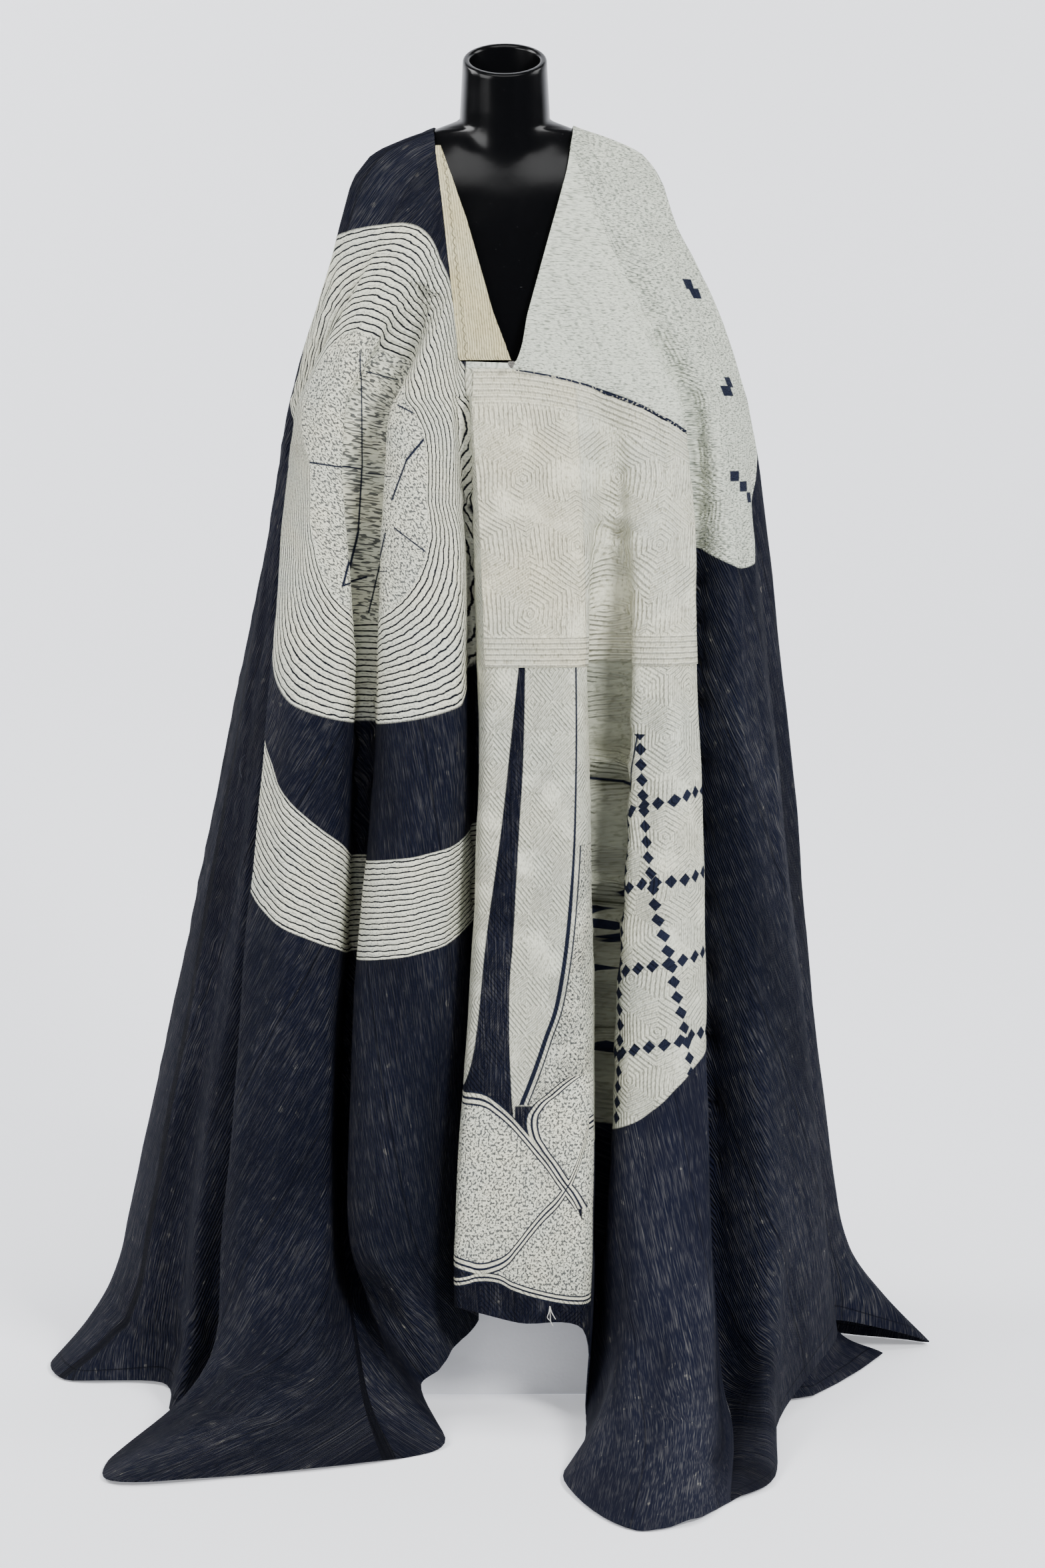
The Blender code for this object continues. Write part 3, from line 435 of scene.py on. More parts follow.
# Creases placed one by one: (fold line, share to the next, row) at both ends, half
# width and depth in metres; a depth below zero is a trough
Crease = namedtuple("Crease", "start end width depth")
CREASES = [
    Crease(("valley_1_left", 0.5, 0.25), ("valley_1_left", 0.5, 1.9), 0.025, -0.0460),
    Crease(("valley_1_left", 0.5, 1.2), ("valley_1_left", 0.5, 3.4), 0.017, -0.0180),
    Crease(("valley_2", 0.1, 0.85), ("valley_2", 0.1, 3.2), 0.014, -0.0120),
    Crease(("valley_3", 0.40, 0.9), ("valley_3", 0.45, 3.2), 0.020, -0.0220),
    Crease(("valley_3", 0.15, 1.5), ("valley_3", 0.20, 3.2), 0.027, -0.0420),
    Crease(("ridge_1_left", 0.1, 4.3), ("ridge_1_crest", 0.9, 4.7), 0.012, 0.0065),
    Crease(("ridge_1_left", 0.4, 4.9), ("ridge_1_right", 0.2, 5.2), 0.012, -0.0065),
    Crease(("ridge_1_crest", 0.2, 3.5), ("ridge_1_right", 0.7, 4.1), 0.012, -0.0060),
    Crease(("left_layer", 0.2, 3.6), ("left_valley", 0.5, 4.2), 0.012, 0.0060),
    Crease(("left_side", 0.4, 4.2), ("left_soft", 0.3, 4.8), 0.013, -0.0060),
    Crease(("ridge_4_crest", 0.1, 4.5), ("ridge_4_toe", 0.8, 4.9), 0.012, 0.0065),
    Crease(("ridge_4_toe", 0.2, 5.1), ("ridge_4_right", 0.7, 5.4), 0.012, -0.0065),
    Crease(("ridge_4_left", 0.5, 3.6), ("ridge_4_toe", 0.4, 4.2), 0.012, -0.0060),
    Crease(("valley_4", 0.2, 3.6), ("ridge_5", 0.7, 4.1), 0.012, 0.0060),
    Crease(("right_side", 0.1, 3.8), ("right_side", 0.9, 4.4), 0.014, 0.0060),
    Crease(("back_ridge_1", 0.1, 3.8), ("back_ridge_1", 0.9, 4.5), 0.014, -0.0060),
    Crease(("back_ridge_5", 0.1, 3.7), ("back_ridge_5", 0.9, 4.4), 0.014, 0.0060),
    Crease(("valley_4", 0.1, 0.3), ("valley_4", 0.1, 3.2), 0.018, -0.0200),
    Crease(("left_valley", 0.3, 0.7), ("left_valley", 0.3, 3.2), 0.014, -0.0120),
    Crease(("left_soft", 0.3, 0.35), ("left_fold", 0.5, 1.3), 0.010, -0.0035),
    Crease(("left_layer", 0.5, 0.5), ("left_layer", 0.2, 1.9), 0.014, 0.0045),
    Crease(("left_side", 0.6, 1.2), ("left_side", 0.3, 2.8), 0.018, -0.0060),
    Crease(("left_layer", 0.4, 1.9), ("left_layer", 0.5, 3.4), 0.016, -0.0050),
    Crease(("ridge_1_crest", 0.2, 0.25), ("ridge_1_crest", 0.4, 1.2), 0.008, 0.0030),
    Crease(("ridge_1_left", 0.4, 1.6), ("ridge_1_crest", 0.3, 2.9), 0.020, 0.0060),
    Crease(("ridge_1_crest", 0.6, 2.1), ("ridge_1_crest", 0.2, 3.6), 0.016, -0.0050),
    Crease(("ridge_1_crest", 0.8, 2.3), ("ridge_1_right", 0.1, 3.5), 0.012, 0.0040),
    Crease(("valley_1_left", 0.3, 0.2), ("valley_1_left", 0.5, 0.8), 0.007, -0.0030),
    Crease(("ridge_2_left", 0.3, 0.3), ("ridge_2_left", 0.6, 1.1), 0.008, 0.0030),
    Crease(("ridge_2_left", 0.7, 1.5), ("ridge_2_crest", 0.2, 2.6), 0.013, 0.0040),
    Crease(("ridge_2_crest", 0.5, 2.0), ("ridge_2_crest", 0.3, 3.3), 0.014, -0.0040),
    Crease(("ridge_2_right", 0.2, 1.7), ("ridge_2_crest", 0.8, 2.9), 0.010, 0.0030),
    Crease(("panel_left", 0.5, 1.0), ("panel_left", 0.4, 1.9), 0.016, 0.0030),
    Crease(("panel_middle", 0.4, 1.1), ("panel_middle", 0.6, 2.2), 0.014, -0.0030),
    Crease(("panel_left", 0.6, 2.4), ("panel_left", 0.3, 3.4), 0.020, -0.0030),
    Crease(("ridge_4_crest", 0.3, 1.9), ("ridge_4_crest", 0.2, 3.0), 0.014, 0.0035),
    Crease(("ridge_4_toe", 0.5, 2.2), ("ridge_4_toe", 0.3, 3.3), 0.012, -0.0030),
    Crease(("ridge_4_crest", 0.5, 3.2), ("ridge_4_crest", 0.8, 5.6), 0.016, -0.0050),
    Crease(("ridge_4_toe", 0.5, 3.6), ("ridge_4_toe", 0.2, 5.8), 0.014, 0.0045),
    Crease(("ridge_5", 0.5, 1.1), ("ridge_5", 0.4, 2.8), 0.014, -0.0045),
    Crease(("ridge_5", 0.3, 2.6), ("ridge_5", 0.6, 4.6), 0.013, 0.0040),
    Crease(("sleeve_corner", 0.4, 1.4), ("sleeve_corner", 0.5, 3.0), 0.014, 0.0045),
    Crease(("ridge_5_right", 0.5, 0.6), ("ridge_5_right", 0.4, 1.9), 0.009, -0.0030),
    Crease(("right_side", 0.4, 1.0), ("right_side", 0.6, 3.0), 0.018, -0.0050),
    Crease(("back_ridge_1", 0.4, 0.8), ("back_ridge_1", 0.5, 3.2), 0.018, -0.0060),
    Crease(("back_ridge_2", 0.3, 1.1), ("back_ridge_2", 0.6, 3.6), 0.015, 0.0050),
    Crease(("back_ridge_3", 0.2, 0.6), ("back_ridge_3", 0.5, 2.7), 0.016, -0.0050),
    Crease(("back_valley_4", 0.4, 1.0), ("back_valley_4", 0.6, 2.9), 0.014, 0.0050),
    Crease(("back_ridge_4", 0.5, 1.3), ("back_ridge_4", 0.3, 3.7), 0.018, -0.0055),
    Crease(("back_ridge_5", 0.3, 0.9), ("back_ridge_5", 0.6, 3.1), 0.016, 0.0050),
    Crease(("ridge_1_crest", 0.4, 3.9), ("ridge_1_crest", 0.7, 5.8), 0.016, 0.0050),
    Crease(("ridge_1_left", 0.6, 4.1), ("ridge_1_left", 0.4, 5.7), 0.014, -0.0045),
]
CREASE_SAMPLES = 26


def creased(grid, normals):
    """The grid with the listed creases raised or sunk along its normals."""
    rise = np.zeros(grid.shape[:2])
    reach = 2 * COLUMN_STEPS
    for crease in CREASES:
        first, last = [FOLD_INDEX[name] + share for name, share, _ in (crease.start, crease.end)]
        low, high = column_at(*crease.start[:2]) - reach, column_at(*crease.end[:2]) + reach
        low, high = max(min(low, high), 0), min(max(low, high), grid.shape[1])
        shares = np.linspace(0.0, 1.0, CREASE_SAMPLES)
        path = [ring_points(crease.start[2] + (crease.end[2] - crease.start[2]) * share,
                            np.array([first + (last - first) * share]))[0] for share in shares]
        block = grid[:, low:high]
        best = np.full(block.shape[:2], 1e9)
        taper = np.zeros(block.shape[:2])
        for share, spot in zip(shares, path):
            gap = np.linalg.norm(block - spot, axis=2)
            nearer = gap < best
            best = np.where(nearer, gap, best)
            taper = np.where(nearer, math.sin(math.pi * share) ** 0.6, taper)
        rise[:, low:high] += crease.depth * taper * np.exp(-(best / crease.width) ** 2)
    return grid + normals * rise[:, :, None]


# Uneven ripples between the folds: height, waves to a fold and waves to a metre down
RIPPLES = ((0.0036, 1.1, 4.2), (0.0018, 2.6, 9.0), (0.0008, 4.2, 24.0))
RIPPLE_CALM = 0.35


def rippled(grid, normals):
    """Small uneven ripples that worn cloth has, drawn out along its folds."""
    rise = np.empty(grid.shape[:2])
    columns = COLUMNS if grid.shape[1] == len(COLUMNS) else np.arange(grid.shape[1]) / COLUMN_STEPS
    turn = np.where(columns > COLUMNS[0] + COLUMN_COUNT - 1, columns - COLUMN_COUNT, columns)
    join = np.clip(columns - (COLUMNS[0] + COLUMN_COUNT - 1), 0.0, 1.0)
    for row in range(grid.shape[0]):
        for column in range(grid.shape[1]):
            z, total = grid[row, column, 2], 0.0
            for number, (depth, round_waves, down_waves) in enumerate(RIPPLES):
                here = mathutils.noise.noise((columns[column] * round_waves, z * down_waves, number * 7.3))
                there = mathutils.noise.noise((turn[column] * round_waves, z * down_waves, number * 7.3))
                total += depth * (here * (1 - join[column]) + there * join[column])
            rise[row, column] = total * (RIPPLE_CALM if z > CHEST_Z + 0.15 else 1.0)
    return grid + normals * rise[:, :, None]


# The shoulders are evened out, where the cloth lies over the form without folds
EVEN_ROUNDS = 10
EVEN_LAST = 0.75


def evened(grid):
    """The grid with its rows over the shoulders smoothed, less and less toward the chest."""
    smooth = grid.copy()
    weight = np.clip(1.0 - ROWS / EVEN_LAST, 0.0, 1.0)[1:-1, None, None] ** 0.5
    for _ in range(EVEN_ROUNDS):
        left = np.concatenate([smooth[:, -2:-1], smooth[:, :-1]], axis=1)
        right = np.concatenate([smooth[:, 1:], smooth[:, 1:2]], axis=1)
        normals = grid_normals(smooth)
        off = np.sum(((left + right) / 2 - smooth) * normals, axis=2)[:, :, None]
        smooth[1:-1] += (off * normals)[1:-1] * weight * 0.7
    return smooth


FORM_CLEAR = 0.0012


def clear_of_form(grid, normals, form_tree):
    """Points moved out along the normals until the cloth lies clear of the form."""
    moved = grid.copy()
    room = CLOTH / 2 + FORM_CLEAR
    for row in range(grid.shape[0]):
        if grid[row, :, 2].max() < 0.80:
            break
        for column in range(grid.shape[1]):
            for _ in range(3):
                point = mathutils.Vector(moved[row, column])
                near, facing, _, _ = form_tree.find_nearest(point)
                short = room - (point - near).dot(facing)
                if short <= 0:
                    break
                moved[row, column] += normals[row, column] * short
    return moved


# The dress form's shell, finer than the CAD part's, with its rim rounded
FORM_SIDES = 144
RIM_ROUND = 0.0034
RIM_STEPS = 6
FORM_SOFT = 0.022
FORM_SOFT_SAMPLES = 9


def soft_form_radius(turn, z):
    """The form's radius averaged over a little height, so that its profile has no breaks."""
    low = max(z - FORM_SOFT, FORM_SECTIONS[0].z)
    reach = min(z - low, FORM_SOFT)
    if z > NECK_BASE_Z + 0.045:
        reach = min(reach, max(SHOULDER_TOP_Z - z, 0.0))
    return float(np.mean([form_radius(turn, z + reach * share)
                          for share in np.linspace(-1.0, 1.0, FORM_SOFT_SAMPLES)]))


def form_mesh():
    """Points and faces of the torso and open neck in one smooth closed skin."""
    turns = [2 * math.pi * side / FORM_SIDES for side in range(FORM_SIDES)]
    heights = list(np.linspace(FORM_SECTIONS[0].z, SHOULDER_LOW_Z, 40, endpoint=False))
    heights += list(np.linspace(SHOULDER_LOW_Z, SHOULDER_TOP_Z, 60))
    heights += list(np.linspace(SHOULDER_TOP_Z, NECK_TOP_Z - RIM_ROUND, 12))[1:]
    rings = [[(soft_form_radius(turn, z), z) for turn in turns] for z in heights]
    arcs = [math.pi / 2 * step / RIM_STEPS for step in range(1, RIM_STEPS + 1)]
    rim = [(-RIM_ROUND + RIM_ROUND * math.cos(arc), RIM_ROUND * math.sin(arc) - RIM_ROUND) for arc in arcs]
    rim += [(-NECK_WALL - inset, rise) for inset, rise in rim[::-1]]
    for inset, rise in rim + [(-NECK_WALL, -RIM_ROUND)]:
        rings.append([(neck_radius(NECK_TOP_Z) + inset, NECK_TOP_Z + rise)] * FORM_SIDES)
    for z in (1.66, NECK_HOLLOW_FLOOR):
        rings.append([(neck_radius(z) - NECK_WALL, z)] * FORM_SIDES)
    points = []
    for ring in rings:
        for turn, (radius, z) in zip(turns, ring):
            y = radius * math.sin(turn)
            lean = max((z - SHOULDER_TOP_Z) / (NECK_TOP_Z - SHOULDER_TOP_Z), 0.0)
            points.append((radius * math.cos(turn), y, z + lean * NECK_SLANT * y))
    faces = [tuple(reversed(range(FORM_SIDES)))]
    for ring in range(len(rings) - 1):
        for side in range(FORM_SIDES):
            after = (side + 1) % FORM_SIDES
            low, high = ring * FORM_SIDES, (ring + 1) * FORM_SIDES
            faces.append((low + side, low + after, high + after, high + side))
    last = (len(rings) - 1) * FORM_SIDES
    faces.append(tuple(last + side for side in range(FORM_SIDES)))
    return points, faces


FORM_POINTS, FORM_FACES = form_mesh()
EDGE_UNDER_FACING = ((-0.056, 1.3085), (0.0095, 1.3062))


def robe_surface():
    """Middle points and normals of the whole robe, once round from ROBE_START."""
    plain = evened(surface(COLUMNS, ROWS))
    grid = creased(plain, grid_normals(plain))
    grid = rippled(grid, grid_normals(grid))
    grid = clear_of_form(grid, grid_normals(grid), BVHTree.FromPolygons(FORM_POINTS, FORM_FACES))
    under = slice(column_at("valley_2"), column_at("panel_middle") + 1)
    (x0, z0), (x1, z1) = EDGE_UNDER_FACING
    grid[0, under, 2] = np.maximum(grid[0, under, 2], np.interp(grid[0, under, 0], (x0, x1), (z0, z1)))
    grid[:, :, 2] = np.maximum(grid[:, :, 2], CLOTH / 2 + FLOOR_GAP)
    grid[:, 0] = (grid[:, 0] + grid[:, -1]) / 2
    grid[:, -1] = grid[:, 0]
    return grid, grid_normals(grid), plain


GRID, NORMALS, PLAIN = robe_surface()

# Lengths along the cloth: across it on every row, and down it from the chest
ACROSS = np.concatenate([np.zeros((len(ROWS), 1)),
                         np.cumsum(np.linalg.norm(np.diff(PLAIN, axis=1), axis=2), axis=1)], axis=1)
STEPS_DOWN = np.linalg.norm(np.diff(PLAIN, axis=0), axis=2)
LENGTH_DOWN = np.concatenate([np.zeros((1, len(COLUMNS))), np.cumsum(STEPS_DOWN, axis=0)], axis=0)
HEM_GAP = LENGTH_DOWN[-1] - LENGTH_DOWN
DOWN = np.where(np.arange(len(ROWS))[:, None] <= SHIN_ROW, -PLAIN[:, :, 2],
                LENGTH_DOWN - LENGTH_DOWN[SHIN_ROW] - SHIN_Z)


def span_from(name, more=0.0):
    """Length along every row from a fold line, more than zero to the wearer's left."""
    place = column_at(name, more)
    return ACROSS - ACROSS[:, place:place + 1]


# Where the threads of the cloth run: stretches of folds with one lean, in degrees
Threads = namedtuple("Threads", "first last lean")
THREADS = [
    Threads("back_valley_6", "left_layer", 6),
    Threads("left_layer", "ridge_1_under", 20),
    Threads("ridge_1_under", "valley_1_left", 28),
    Threads("valley_1_left", "valley_2", -14),
    Threads("valley_2", "valley_3", -2),
    Threads("valley_3", "valley_4", -16),
    Threads("valley_4", "right_side", -22),
    Threads("right_side", "back_valley_2", -6),
    Threads("back_valley_2", "back_valley_6", 0),
]


def thread_lay():
    """Places across and along the threads for every point of the robe."""
    lay = np.zeros(GRID.shape)
    for number, run in enumerate(THREADS):
        low = column_at(run.first)
        high = column_at(run.last) or len(COLUMNS) - 1
        if run.last == ROBE_START:
            high = len(COLUMNS) - 1
        part = slice(low, high + 1)
        middle = (low + high) // 2
        across = ACROSS[:, part] - ACROSS[:, middle:middle + 1]
        lean = math.radians(run.lean)
        lay[:, part, 0] = across * math.cos(lean) + DOWN[:, part] * math.sin(lean)
        lay[:, part, 1] = DOWN[:, part] * math.cos(lean) - across * math.sin(lean) + number
    return lay


def spread_share():
    """-1 at the first ridge's outer side, 0 in the first valley and 1 at the second."""
    middle = column_at("valley_1_left", 0.5)
    left = ACROSS[:, middle] - ACROSS[:, column_at("ridge_1_left")]
    right = ACROSS[:, column_at("valley_2")] - ACROSS[:, middle]
    gap = ACROSS - ACROSS[:, middle:middle + 1]
    return np.where(gap < 0, gap / left[:, None], gap / right[:, None])


def stacked(*layers):
    return np.stack([np.broadcast_to(layer, GRID.shape[:2]) for layer in layers], axis=2)


FOLD_NUMBER = np.broadcast_to(COLUMNS - FOLD_INDEX["ridge_1_left"], GRID.shape[:2])
ATTRIBUTES = {
    "thread": thread_lay(),
    "round": stacked(spread_share(), GRID[:, :, 2], HEM_GAP),
    "panel": stacked(span_from("panel_middle"), DOWN, span_from("ridge_4_crest")),
    "fold": stacked(FOLD_NUMBER, ROWS[:, None], span_from("valley_4")),
}


def add_piece(name, points, faces, values, material, replaced):
    """A named piece of cloth with its lengths stored on its points."""
    mesh = bpy.data.meshes.new(name)
    mesh.from_pydata([tuple(point) for point in points], [], faces)
    mesh.validate()
    mesh.shade_smooth()
    mesh.set_sharp_from_angle(angle=math.radians(60))
    for title, block in values.items():
        layer = mesh.attributes.new(title, "FLOAT_VECTOR", "POINT")
        layer.data.foreach_set("vector", np.asarray(block, dtype=np.float32).reshape(-1))
    piece = bpy.data.objects.new(name, mesh)
    mesh.materials.append(material)
    bpy.context.scene.collection.objects.link(piece)
    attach(piece, "root")
    if replaced:
        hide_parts(replaced)
    return piece


def wall(grid, normals, thickness):
    """Outer and inner face of a sheet and the rim between them, as quads."""
    rows, columns = grid.shape[:2]
    points = np.vstack([(grid + normals * thickness / 2).reshape(-1, 3),
                        (grid - normals * thickness / 2).reshape(-1, 3)])
    back = rows * columns
    faces = []
    for row in range(rows - 1):
        for column in range(columns - 1):
            a = row * columns + column
            b, c, d = a + 1, a + columns + 1, a + columns
            faces.append((a, d, c, b))
            faces.append((a + back, b + back, c + back, d + back))
    for row in range(rows - 1):
        a = row * columns
        d = a + columns
        faces.append((a, a + back, d + back, d))
        a, d = a + columns - 1, d + columns - 1
        faces.append((d, d + back, a + back, a))
    for column in range(columns - 1):
        faces.append((column + 1, column + 1 + back, column + back, column))
        a = (rows - 1) * columns + column
        faces.append((a, a + back, a + 1 + back, a + 1))
    return points, faces


def drawn_in(grid, gap):
    """The grid with its side edges drawn in by gap along the cloth."""
    drawn = grid.copy()
    for edge, inside in ((0, 1), (-1, -2)):
        way = grid[:, inside] - grid[:, edge]
        length = np.linalg.norm(way, axis=1)[:, None] + 1e-9
        drawn[:, edge] += way / length * np.minimum(gap, length * 0.4)
    return drawn


def columns_of(first, last):
    low, high = column_at(first), column_at(last)
    if high <= low:
        high = len(COLUMNS) - 1
    return slice(low, high + 1)


def robe_piece(name, first, last, material):
    """One sewn piece of the robe, from fold line first round to fold line last."""
    part = columns_of(first, last)
    points, faces = wall(drawn_in(GRID[:, part], SEAM_GAP / 2), NORMALS[:, part], CLOTH)
    values = {title: np.vstack([block[:, part].reshape(-1, 3)] * 2) for title, block in ATTRIBUTES.items()}
    return add_piece(name, points, faces, values, material, name)


SOFT_EDGE = 0.0006


class Field:
    """One number that varies over a surface: a socket of a node tree, with arithmetic."""

    def __init__(self, tree, socket):
        self.tree, self.socket = tree, socket

    def join(self, kind, *others, clamp=False):
        return maths(self.tree, kind, self, *others, clamp=clamp)

    def __add__(self, other):
        return self.join("ADD", other)

    def __radd__(self, other):
        return self.join("ADD", other)

    def __sub__(self, other):
        return self.join("SUBTRACT", other)

    def __rsub__(self, other):
        return maths(self.tree, "SUBTRACT", other, self)

    def __mul__(self, other):
        return self.join("MULTIPLY", other)

    def __rmul__(self, other):
        return self.join("MULTIPLY", other)

    def __truediv__(self, other):
        return self.join("DIVIDE", other)

    def size(self):
        return self.join("ABSOLUTE")

    def low(self, other):
        return self.join("MINIMUM", other)

    def high(self, other):
        return self.join("MAXIMUM", other)

    def wave(self):
        return self.join("SINE")

    def share(self):
        return self.join("FRACT")

    def root(self):
        return self.join("SQRT")

    def power(self, exponent):
        return self.join("POWER", exponent)

    def scaled(self, factor, more, clamp=False):
        return self.join("MULTIPLY_ADD", factor, more, clamp=clamp)

    def above(self, other, soft=SOFT_EDGE):
        """0 below other and 1 above it, with a soft edge."""
        rise = 0.5 / soft
        if isinstance(other, Field):
            return (self - other).scaled(rise, 0.5, clamp=True)
        return self.scaled(rise, 0.5 - other * rise, clamp=True)

    def below(self, other, soft=SOFT_EDGE):
        """1 below other and 0 above it, with a soft edge."""
        rise = 0.5 / soft
        if isinstance(other, Field):
            return (self - other).scaled(-rise, 0.5, clamp=True)
        return self.scaled(-rise, 0.5 + other * rise, clamp=True)

    def clamped(self):
        return self.join("ADD", 0.0, clamp=True)


def maths(tree, kind, *values, clamp=False):
    node = tree.nodes.new("ShaderNodeMath")
    node.operation = kind
    node.use_clamp = clamp
    for place, value in zip(node.inputs, values):
        put(tree, value, place)
    return Field(tree, node.outputs[0])


def put(tree, value, place):
    if isinstance(value, Field):
        tree.links.new(value.socket, place)
    elif hasattr(value, "is_output"):
        tree.links.new(value, place)
    else:
        place.default_value = value


class Paint:
    """A material's node tree, with short names for the nodes that the cloth uses."""

    def __init__(self, name):
        self.material = bpy.data.materials.new(name)
        self.material.use_nodes = True
        self.tree = self.material.node_tree
        self.shader = self.tree.nodes["Principled BSDF"]

    def split(self, socket):
        node = self.tree.nodes.new("ShaderNodeSeparateXYZ")
        self.tree.links.new(socket, node.inputs[0])
        return [Field(self.tree, part) for part in node.outputs]

    def stored(self, title):
        """The three numbers stored on the points under this title."""
        node = self.tree.nodes.new("ShaderNodeAttribute")
        node.attribute_name = title
        return self.split(node.outputs["Vector"])

    def place(self):
        """The x, y and z of the surface in metres."""
        return self.split(self.tree.nodes.new("ShaderNodeTexCoord").outputs["Object"])

    def spot(self, x, y, z=0.0):
        node = self.tree.nodes.new("ShaderNodeCombineXYZ")
        for value, place in zip((x, y, z), node.inputs):
            put(self.tree, value, place)
        return node.outputs[0]

    def noise(self, spot, scale, detail=2.0, roughness=0.5):
        node = self.tree.nodes.new("ShaderNodeTexNoise")
        self.tree.links.new(spot, node.inputs["Vector"])
        node.inputs["Scale"].default_value = scale
        node.inputs["Detail"].default_value = detail
        node.inputs["Roughness"].default_value = roughness
        return Field(self.tree, node.outputs[0])

    def curve(self, value, points):
        """A smooth curve through (value, result) points, in metres."""
        points = sorted(points)
        low, high = points[0][0], points[-1][0]
        results = [result for _, result in points]
        base, span = min(results), max(max(results) - min(results), 1e-6)
        node = self.tree.nodes.new("ShaderNodeFloatCurve")
        line = node.mapping.curves[0]
        spots = [((v - low) / (high - low), (r - base) / span) for v, r in points]
        line.points[0].location = spots[0]
        line.points[1].location = spots[-1]
        for spot in spots[1:-1]:
            line.points.new(*spot)
        node.mapping.update()
        rise = 1.0 / (high - low)
        put(self.tree, value.scaled(rise, -low * rise, clamp=True), node.inputs["Value"])
        return Field(self.tree, node.outputs[0]).scaled(span, base)

    def mix(self, share, first, second):
        """Colour first where share is 0 and second where it is 1."""
        node = self.tree.nodes.new("ShaderNodeMix")
        node.data_type = "RGBA"
        put(self.tree, share, node.inputs[0])
        for value, place in ((first, node.inputs[6]), (second, node.inputs[7])):
            put(self.tree, (*value, 1.0) if isinstance(value, tuple) else value, place)
        return node.outputs[2]

    def vector(self, kind, first, second):
        """A vector operation; its outputs are the vector and the number."""
        node = self.tree.nodes.new("ShaderNodeVectorMath")
        node.operation = kind
        put(self.tree, first, node.inputs[0])
        put(self.tree, second, node.inputs[3 if kind == "SCALE" else 1])
        return node.outputs[0], Field(self.tree, node.outputs[1])

    def strokes(self, x, z, lines):
        """1 on straight lines, each given as its (x, z) start and end and its half width."""
        spot = self.spot(x, z)
        drawn = None
        for (x0, z0), (x1, z1), half in lines:
            way_x, way_z = x1 - x0, z1 - z0
            square = way_x ** 2 + way_z ** 2
            off, _ = self.vector("SUBTRACT", spot, (x0, z0, 0.0))
            _, share = self.vector("DOT_PRODUCT", off, (way_x / square, way_z / square, 0.0))
            near, _ = self.vector("SCALE", (way_x, way_z, 0.0), share.clamped())
            _, gap = self.vector("DISTANCE", off, near)
            one = gap.below(half)
            drawn = one if drawn is None else drawn.high(one)
        return drawn

    def finish(self, colour, height, bump, roughness, sheen=0.0, specular=0.3):
        shader = self.shader
        put(self.tree, colour, shader.inputs["Base Color"])
        put(self.tree, roughness, shader.inputs["Roughness"])
        shader.inputs["Sheen Weight"].default_value = sheen
        shader.inputs["Specular IOR Level"].default_value = specular
        if height is not None:
            node = self.tree.nodes.new("ShaderNodeBump")
            node.inputs["Strength"].default_value = 1.0
            node.inputs["Distance"].default_value = bump
            put(self.tree, height, node.inputs["Height"])
            self.tree.links.new(node.outputs[0], shader.inputs["Normal"])
        return self.material


# Colours of the robe
INDIGO_DEEP = (0.0026, 0.0032, 0.0075)
INDIGO_MID = (0.0070, 0.0090, 0.0220)
FLECK = (0.205, 0.200, 0.190)
LINE_INDIGO = (0.0045, 0.0055, 0.011)
CREAM = (0.69, 0.68, 0.54)
CREAM_COOL = (0.60, 0.62, 0.53)
CREAM_WARM = (0.74, 0.68, 0.49)
YOKE_CREAM = (0.57, 0.60, 0.51)
INK = (0.012, 0.015, 0.030)
STITCH_DARK = (0.004, 0.005, 0.010)
HEM_STITCH = 0.019
THREAD_PITCH = 0.0034


def weave(paint):
    """Dark strip-woven cloth with pale flecked threads: its colour and height."""
    across, down, _ = paint.stored("thread")
    patch = paint.noise(paint.spot(across, down * 0.30), 9.0, 3.0)
    streak = paint.noise(paint.spot(across, down * 0.060), 820.0, 1.5)
    longer = paint.noise(paint.spot(across, down * 0.030), 640.0, 1.5)
    finer = paint.noise(paint.spot(across, down * 0.30), 700.0, 1.0)
    rib = (across * (2 * math.pi / THREAD_PITCH)).wave()
    # Here it is a random patch of wear, with more pale flecks in it.
    wear_and_painted_shade = (patch - 0.42).clamped() * 2.4 + 0.30
    flecks = (streak - 0.530).high(0.0) * 4.6 + (longer - 0.545).high(0.0) * 4.6
    flecks = (flecks * wear_and_painted_shade.low(1.3)).clamped()
    strip = ((across / 0.118).share() - 0.5).size().above(0.491, 0.002)
    slub = paint.noise(paint.spot(across, down), 60.0, 1.0).above(0.72, 0.01)
    deep = paint.mix((patch * 1.5 - 0.25).clamped(), INDIGO_DEEP, INDIGO_MID)
    colour = paint.mix((flecks * 0.38 + (rib * 0.5 + 0.2).high(0.0) * wear_and_painted_shade * 0.05).clamped(), deep, FLECK)
    colour = paint.mix(strip * 0.5, colour, (0.002, 0.0024, 0.005))
    colour = paint.mix(slub * flecks * 0.5, colour, (0.42, 0.40, 0.33))
    return colour, rib * 0.35 + flecks * 0.5 - strip * 0.6 + finer * 0.5


def stitches(paint, across, down):
    """Dense embroidery: short stitches side by side, as a height from 0 to 1."""
    run = paint.noise(paint.spot(across, down * 0.30), 560.0, 1.5)
    knots = paint.noise(paint.spot(across, down), 260.0, 1.0)
    return (run * 0.7 + knots * 0.3 - 0.5) * 2.2 + 0.5


